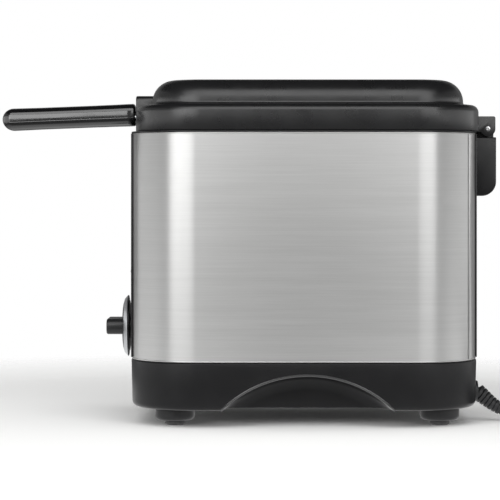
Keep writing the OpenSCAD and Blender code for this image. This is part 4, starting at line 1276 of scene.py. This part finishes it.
def makeHandle():
    hw, ht, end = handle["hw"], handle["ht"], handle["length"] - handle["ht"]
    rings = [gripRing(0, hw - 1.5, ht - 1.0), gripRing(-0.4, hw - 0.9, ht - 0.4), gripRing(-1.2, hw - 0.5, ht),
             gripRing(-6, hw - 0.6, ht), gripRing(-14, hw - 0.9, ht - 0.1)]
    rings += [gripRing(-y, hw - 1, ht - 0.2) for y in (30, 50, 70)]
    for a in range(0, 91, 9):
        k = math.cos(math.radians(a * 0.985))
        rings.append(gripRing(-end - ht * math.sin(math.radians(a)), hw * (0.35 + 0.65 * k) - k, ht * k))
    upper, drop, well = loft("handleUpper", rings), handle["stemDrop"], handle["well"]
    lower = copyOf(upper, Matrix.Identity(4))
    lower.name = "handleLower"
    for piece, side in ((upper, 1), (lower, -1)):
        parting = side * 0.06 - drop
        edit(piece)
        pickAll()
        bpy.ops.mesh.bisect(plane_co=(0, 0, parting), plane_no=(0, 0, -side), clear_outer=True, use_fill=True)
        sharpEdges((parting,))
        bevel(0.3, 2)
        leave()
    wells = [rod("well", 40, well, 14, (0, y, -12.5)) for y in handle["screws"]]
    combine(lower, joinAll("wells", wells))
    edit(lower)
    pickItems("EDGE", lambda e: e.is_manifold and e.calc_face_angle() > 1 and e.verts[0].co.z < -6.5
              and any(math.hypot(v.co.x, v.co.y - y) < well + 0.05 for y in handle["screws"] for v in e.verts))
    bevel(0.3, 2)
    leave()
    holes = [rod("hole", 24, handle["stem"] + 0.05, 20, (x, 0, -drop), alongY) for x in handle["stemX"]]
    cutter = joinAll("holes", holes)
    other = copyOf(cutter, Matrix.Identity(4))
    for piece, hole, node in ((upper, cutter, "handle_upper"), (lower, other, "handle_lower")):
        combine(piece, hole)
        piece.data.transform(handleFrame)
        place(piece, "basket", "handle_plastic", handlePhenolic, node)


# Basket.
basket = {"hw": 62, "front": -86, "rear": 86, "bottom": 100, "top": 198, "chamfer": 18, "pitch": 5.4, "wire": 0.55,
          "rim": 2, "rimCorner": 24, "cross": 1.3, "rods": (-40, 40), "feet": (-40, 40), "footBottom": 92.5}


def placeWires(name, pieces, node):
    place(joinAll(name, pieces), "basket", "basket_wire", wireChrome, node, angle=60, clean=False)


def outlinePoints(shrunk):
    hw, front, rear = basket["hw"] - shrunk, basket["front"] + shrunk, basket["rear"] - shrunk
    c = basket["chamfer"] - 0.6 * shrunk
    return [(hw, front + c), (hw, rear - c), (hw - c, rear), (c - hw, rear), (-hw, rear - c), (-hw, front + c),
            (c - hw, front), (hw - c, front)]


def spread(a, b, pitch):
    length = math.dist(a, b)
    count = max(1, round(length / pitch))
    return [tuple(p + (q - p) * i / count for p, q in zip(a, b)) for i in range(count + 1)]


def wallMesh(name, a, b, low, high):
    # Crossed wires over one flat panel of the wall between two corners, those along it on the outside.
    r = basket["wire"]
    along = Vector((b[0] - a[0], b[1] - a[1])).normalized()
    out = Vector((along.y, -along.x))
    pieces = []
    for x, y in spread(a, b, basket["pitch"]):
        x, y = x - out.x * 1.1 * r, y - out.y * 1.1 * r
        pieces.append(wire("upright", [(x, y, low), (x, y, high)], r))
    for z in [p[0] for p in spread((low,), (high,), basket["pitch"])]:
        pieces.append(wire("level", [(a[0], a[1], z), (b[0], b[1], z)], r))
    return joinAll(name, pieces)


def makeBasket():
    corners = outlinePoints(basket["wire"])
    low, high = basket["bottom"] + 0.6, basket["top"] - 0.4
    walls = {"Right": ((7, 0), (0, 1), (1, 2)), "Rear": ((2, 3),), "Left": ((3, 4), (4, 5), (5, 6)),
             "Front": ((6, 7),)}
    for side, spans in walls.items():
        pieces = [wallMesh("panel", corners[i], corners[j], low, high) for i, j in spans]
        placeWires("basket" + side + "Wall", pieces, "basket_" + side.lower() + "_wall")
    makeBasketBottom(corners)
    makeBasketFrame()


def makeBasketBottom(corners):
    # The floor's wires, each cut to length where it meets the slanting corners.
    hw, front, rear, c, r = corners[0][0], corners[6][1], corners[2][1], basket["chamfer"] - 0.3, basket["wire"]
    wires, z = [], basket["bottom"]
    for x, _ in spread((-hw, 0), (hw, 0), basket["pitch"]):
        cut = max(0, c - (hw - abs(x)))
        wires.append(wire("long", [(x, front + cut, z + r), (x, rear - cut, z + r)], r))
    for _, y in spread((0, front), (0, rear), basket["pitch"]):
        cut = max(0, c - min(y - front, rear - y))
        wires.append(wire("across", [(cut - hw, y, z + 3 * r), (hw - cut, y, z + 3 * r)], r))
    wires.append(wire("edge", [(x, y, z + 2 * r) for x, y in corners], r * 1.3, cyclic=True))
    placeWires("basketBottom", wires, "basket_bottom")


def makeBasketFrame():
    out = basket["rim"] + 0.1
    corners = roundCorners(basket["hw"] + out, basket["front"] - out, basket["rear"] + out, basket["rimCorner"], 12)
    wires = [wire("rim", [(x, y, basket["top"]) for x, y in sum(corners, [])], basket["rim"], 5, True)]
    r, low, high = basket["cross"], basket["footBottom"], basket["bottom"] - basket["cross"]
    x = basket["hw"] + r
    half = [(x, basket["top"] - 1)] + turn(x - 4, basket["bottom"] + 2.7, 4, 0, -90, 6)
    for y in basket["rods"]:
        wires.append(wire("hoop", [(x, y, z) for x, z in half] + [(-x, y, z) for x, z in half[::-1]], r, 4))
        for side in basket["feet"]:
            foot = rod("foot", 24, 2, high - low, (side, y, (high + low) / 2))
            bevelWhere(foot, lambda c, d: c.z < low + 0.1 and near(d.z, 0), 0.9, 3)
            wires.append(foot)
    placeWires("basketFrame", wires, "basket_frame")


plateFront = -91.6


def makeHandleBracket():
    plate = block("handleBracket", (-18, plateFront, 158), (18, plateFront + 1.4, 200))
    bevelWhere(plate, lambda c, d: abs(d.y) > 0.9, 3, 5)
    holes = [rod("hole", 32, 3, 10, (0, plateFront, z), alongY) for z in (166, 190)]
    combine(plate, joinAll("holes", holes))
    roundEdges(plate, 0.35, 2)
    place(plate, "basket", "basket_wire", wireChrome, "handle_bracket")


def makeStem():
    # Two bent wires, welded to the bracket, that run up over the bowl's edge and into the grip.
    y0, drop = plateFront - handle["stem"], handle["stemDrop"]
    route = [(y0, z) for z in (160, 180, 200, 208)] + turn(y0 - 10, 210.8, 10, 0, 72, 8)
    inside = [handleFrame @ Vector((0, y, -drop)) for y in (14, 4, -20, -69)]
    route += [(p.y, p.z) for p in inside]
    wires = [wire("stem", [(x, y, z) for y, z in route], handle["stem"], 6) for x in handle["stemX"]]
    placeWires("handleStem", wires, "handle_stem")


makeBracket()
makePin()
print("hinge made")
makeKnob()
print("knob made")
makeHandle()
makeScrews()
print("handle and screws made")
makeBasket()
makeHandleBracket()
makeStem()
print("basket made")


# Nodes that keep their CAD form, with what each is made of.
keptLooks = {
    "foot_cups": cupMoulding, "foot_pads": footRubber, "foot_screws": zinc, "tie_bolts": zinc,
    "element_plate": aluminium, "heating_element": elementSteel, "heat_shield": sheetSteel, "thermostat": ceramic,
    "thermostat_bracket": sheetSteel, "thermostat_shaft": zinc, "sensor_bulb": copper, "thermal_cutout": ceramic,
    "lamp_holder": nylonWhite, "terminal_block": nylonWhite, "cord_clamp": frameMoulding, "wiring": sleeving,
    "lid_filter": filterMesh, "cord_tie": tieNylon,
}
for node, look in keptLooks.items():
    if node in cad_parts:
        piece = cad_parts[node]
        piece.data.materials.clear()
        piece.data.materials.append(look)
print("kept parts given their materials")


# Floor, background and light.
light = {
    # floorFront, floorRound and floorMirrored set the floor's painted glow, which only reflections show.
    "floorSize": 6, "floorColour": "#f4f4f3", "floorFade": (0.34, 0.62), "floorFront": (0.09, 0.22),
    "floorRound": (0.22, 0.55), "floorMirrored": (1.0, 0.2), "fill": 0.6, "horizon": (0.03, 0.3),
    "reflection": (0.34, 0.3),
    "lamps": {
        "left": {"at": (1370, -768, 560), "size": (1.2, 0.6), "power": 7.7},
        "right": {"at": (1470, 675, 560), "size": (0.82, 0.6), "power": 3.7},
        "over": {"at": (1100, 0, 1180), "size": (2.2, 0.85), "power": 13.2},
        "leftSide": {"at": (250, -1450, 270), "size": (3, 0.5), "power": 5.3},
        "rightSide": {"at": (250, 1450, 270), "size": (3, 0.5), "power": 5.8},
    },
    "ceiling": {"at": (-300, 0, 1700), "size": 4.4, "colour": "#1c1c1c"},
}


def makeFloor():
    floor = start("plane", "floor", size=light["floorSize"])
    edit(floor)
    pickAll()
    bpy.ops.mesh.subdivide(number_cuts=4)
    leave()
    material, tree, shader = newMaterial("paleFloor", light["floorColour"], Roughness=0.9)
    shader.inputs["Specular IOR Level"].default_value = 0.1
    away = add(tree, "VectorMath", {0: add(tree, "TexCoord").outputs["Object"]}, operation="LENGTH").outputs["Value"]
    connect(tree, ramp(tree, away, *light["floorFade"], 1.0, 0.0), shader, "Alpha")
    # The floor glows for reflections only: a painted light, bright close below the fryer and dim in front and further
    # off, which shiny undersides mirror.
    ahead = add(tree, "SeparateXYZ", {0: add(tree, "TexCoord").outputs["Object"]}).outputs["X"]
    dim = add(tree, "Math", {0: ramp(tree, ahead, *light["floorFront"]), 1: ramp(tree, away, *light["floorRound"])},
              operation="MAXIMUM").outputs[0]
    bright = add(tree, "Emission", {"Strength": ramp(tree, dim, 0, 1, *light["floorMirrored"])}).outputs[0]
    mirrored = add(tree, "LightPath").outputs["Is Glossy Ray"]
    both = add(tree, "MixShader", {0: mirrored, 1: shader.outputs[0], 2: bright}).outputs[0]
    tree.links.new(both, tree.nodes["Material Output"].inputs["Surface"])
    floor.data.materials.append(material)


def makeBackground():
    world = bpy.data.worlds.new("world")
    world.use_nodes = True
    bpy.context.scene.world = world
    tree = world.node_tree
    path = add(tree, "LightPath").outputs
    seen = add(tree, "Math", {0: path["Is Glossy Ray"], 1: path["Is Transmission Ray"]}, operation="MAXIMUM").outputs[0]
    up = add(tree, "SeparateXYZ", {0: add(tree, "TexCoord").outputs["Generated"]}).outputs["Z"]
    away = add(tree, "Math", {0: up}, operation="ABSOLUTE").outputs[0]
    mirrored = ramp(tree, away, *light["horizon"], *light["reflection"])
    strength = ramp(tree, seen, 0, 1, light["fill"], mirrored)
    full = add(tree, "Math", {0: strength, 1: path["Is Camera Ray"]}, operation="MAXIMUM").outputs[0]
    shader = tree.nodes["Background"]
    shader.inputs["Color"].default_value = (1, 1, 1, 1)
    tree.links.new(full, shader.inputs["Strength"])


def makeLight(name, settings):
    data = bpy.data.lights.new(name, "AREA")
    data.shape = "RECTANGLE"
    data.size, data.size_y = settings["size"]
    data.energy = settings["power"]
    lamp = linked(name, data)
    lamp.location = toFrame @ Vector(settings["at"])
    towards = toFrame @ Vector((0, 0, 110)) - lamp.location
    lamp.rotation_euler = towards.to_track_quat("-Z", "Y").to_euler()


def makeCeiling():
    # The unlit ceiling of the studio, which only the tops of shiny things mirror.
    place = toFrame @ Vector(light["ceiling"]["at"])
    ceiling = start("plane", "ceiling", size=light["ceiling"]["size"], location=place)
    ceiling.data.materials.append(newMaterial("ceilingPaint", light["ceiling"]["colour"], Roughness=1.0)[0])
    ceiling.visible_camera = ceiling.visible_diffuse = ceiling.visible_shadow = False


makeFloor()
makeCeiling()
makeBackground()
for name, settings in light["lamps"].items():
    makeLight(name + "Light", settings)
bpy.context.scene.view_settings.view_transform = "Standard"
print("stage made")
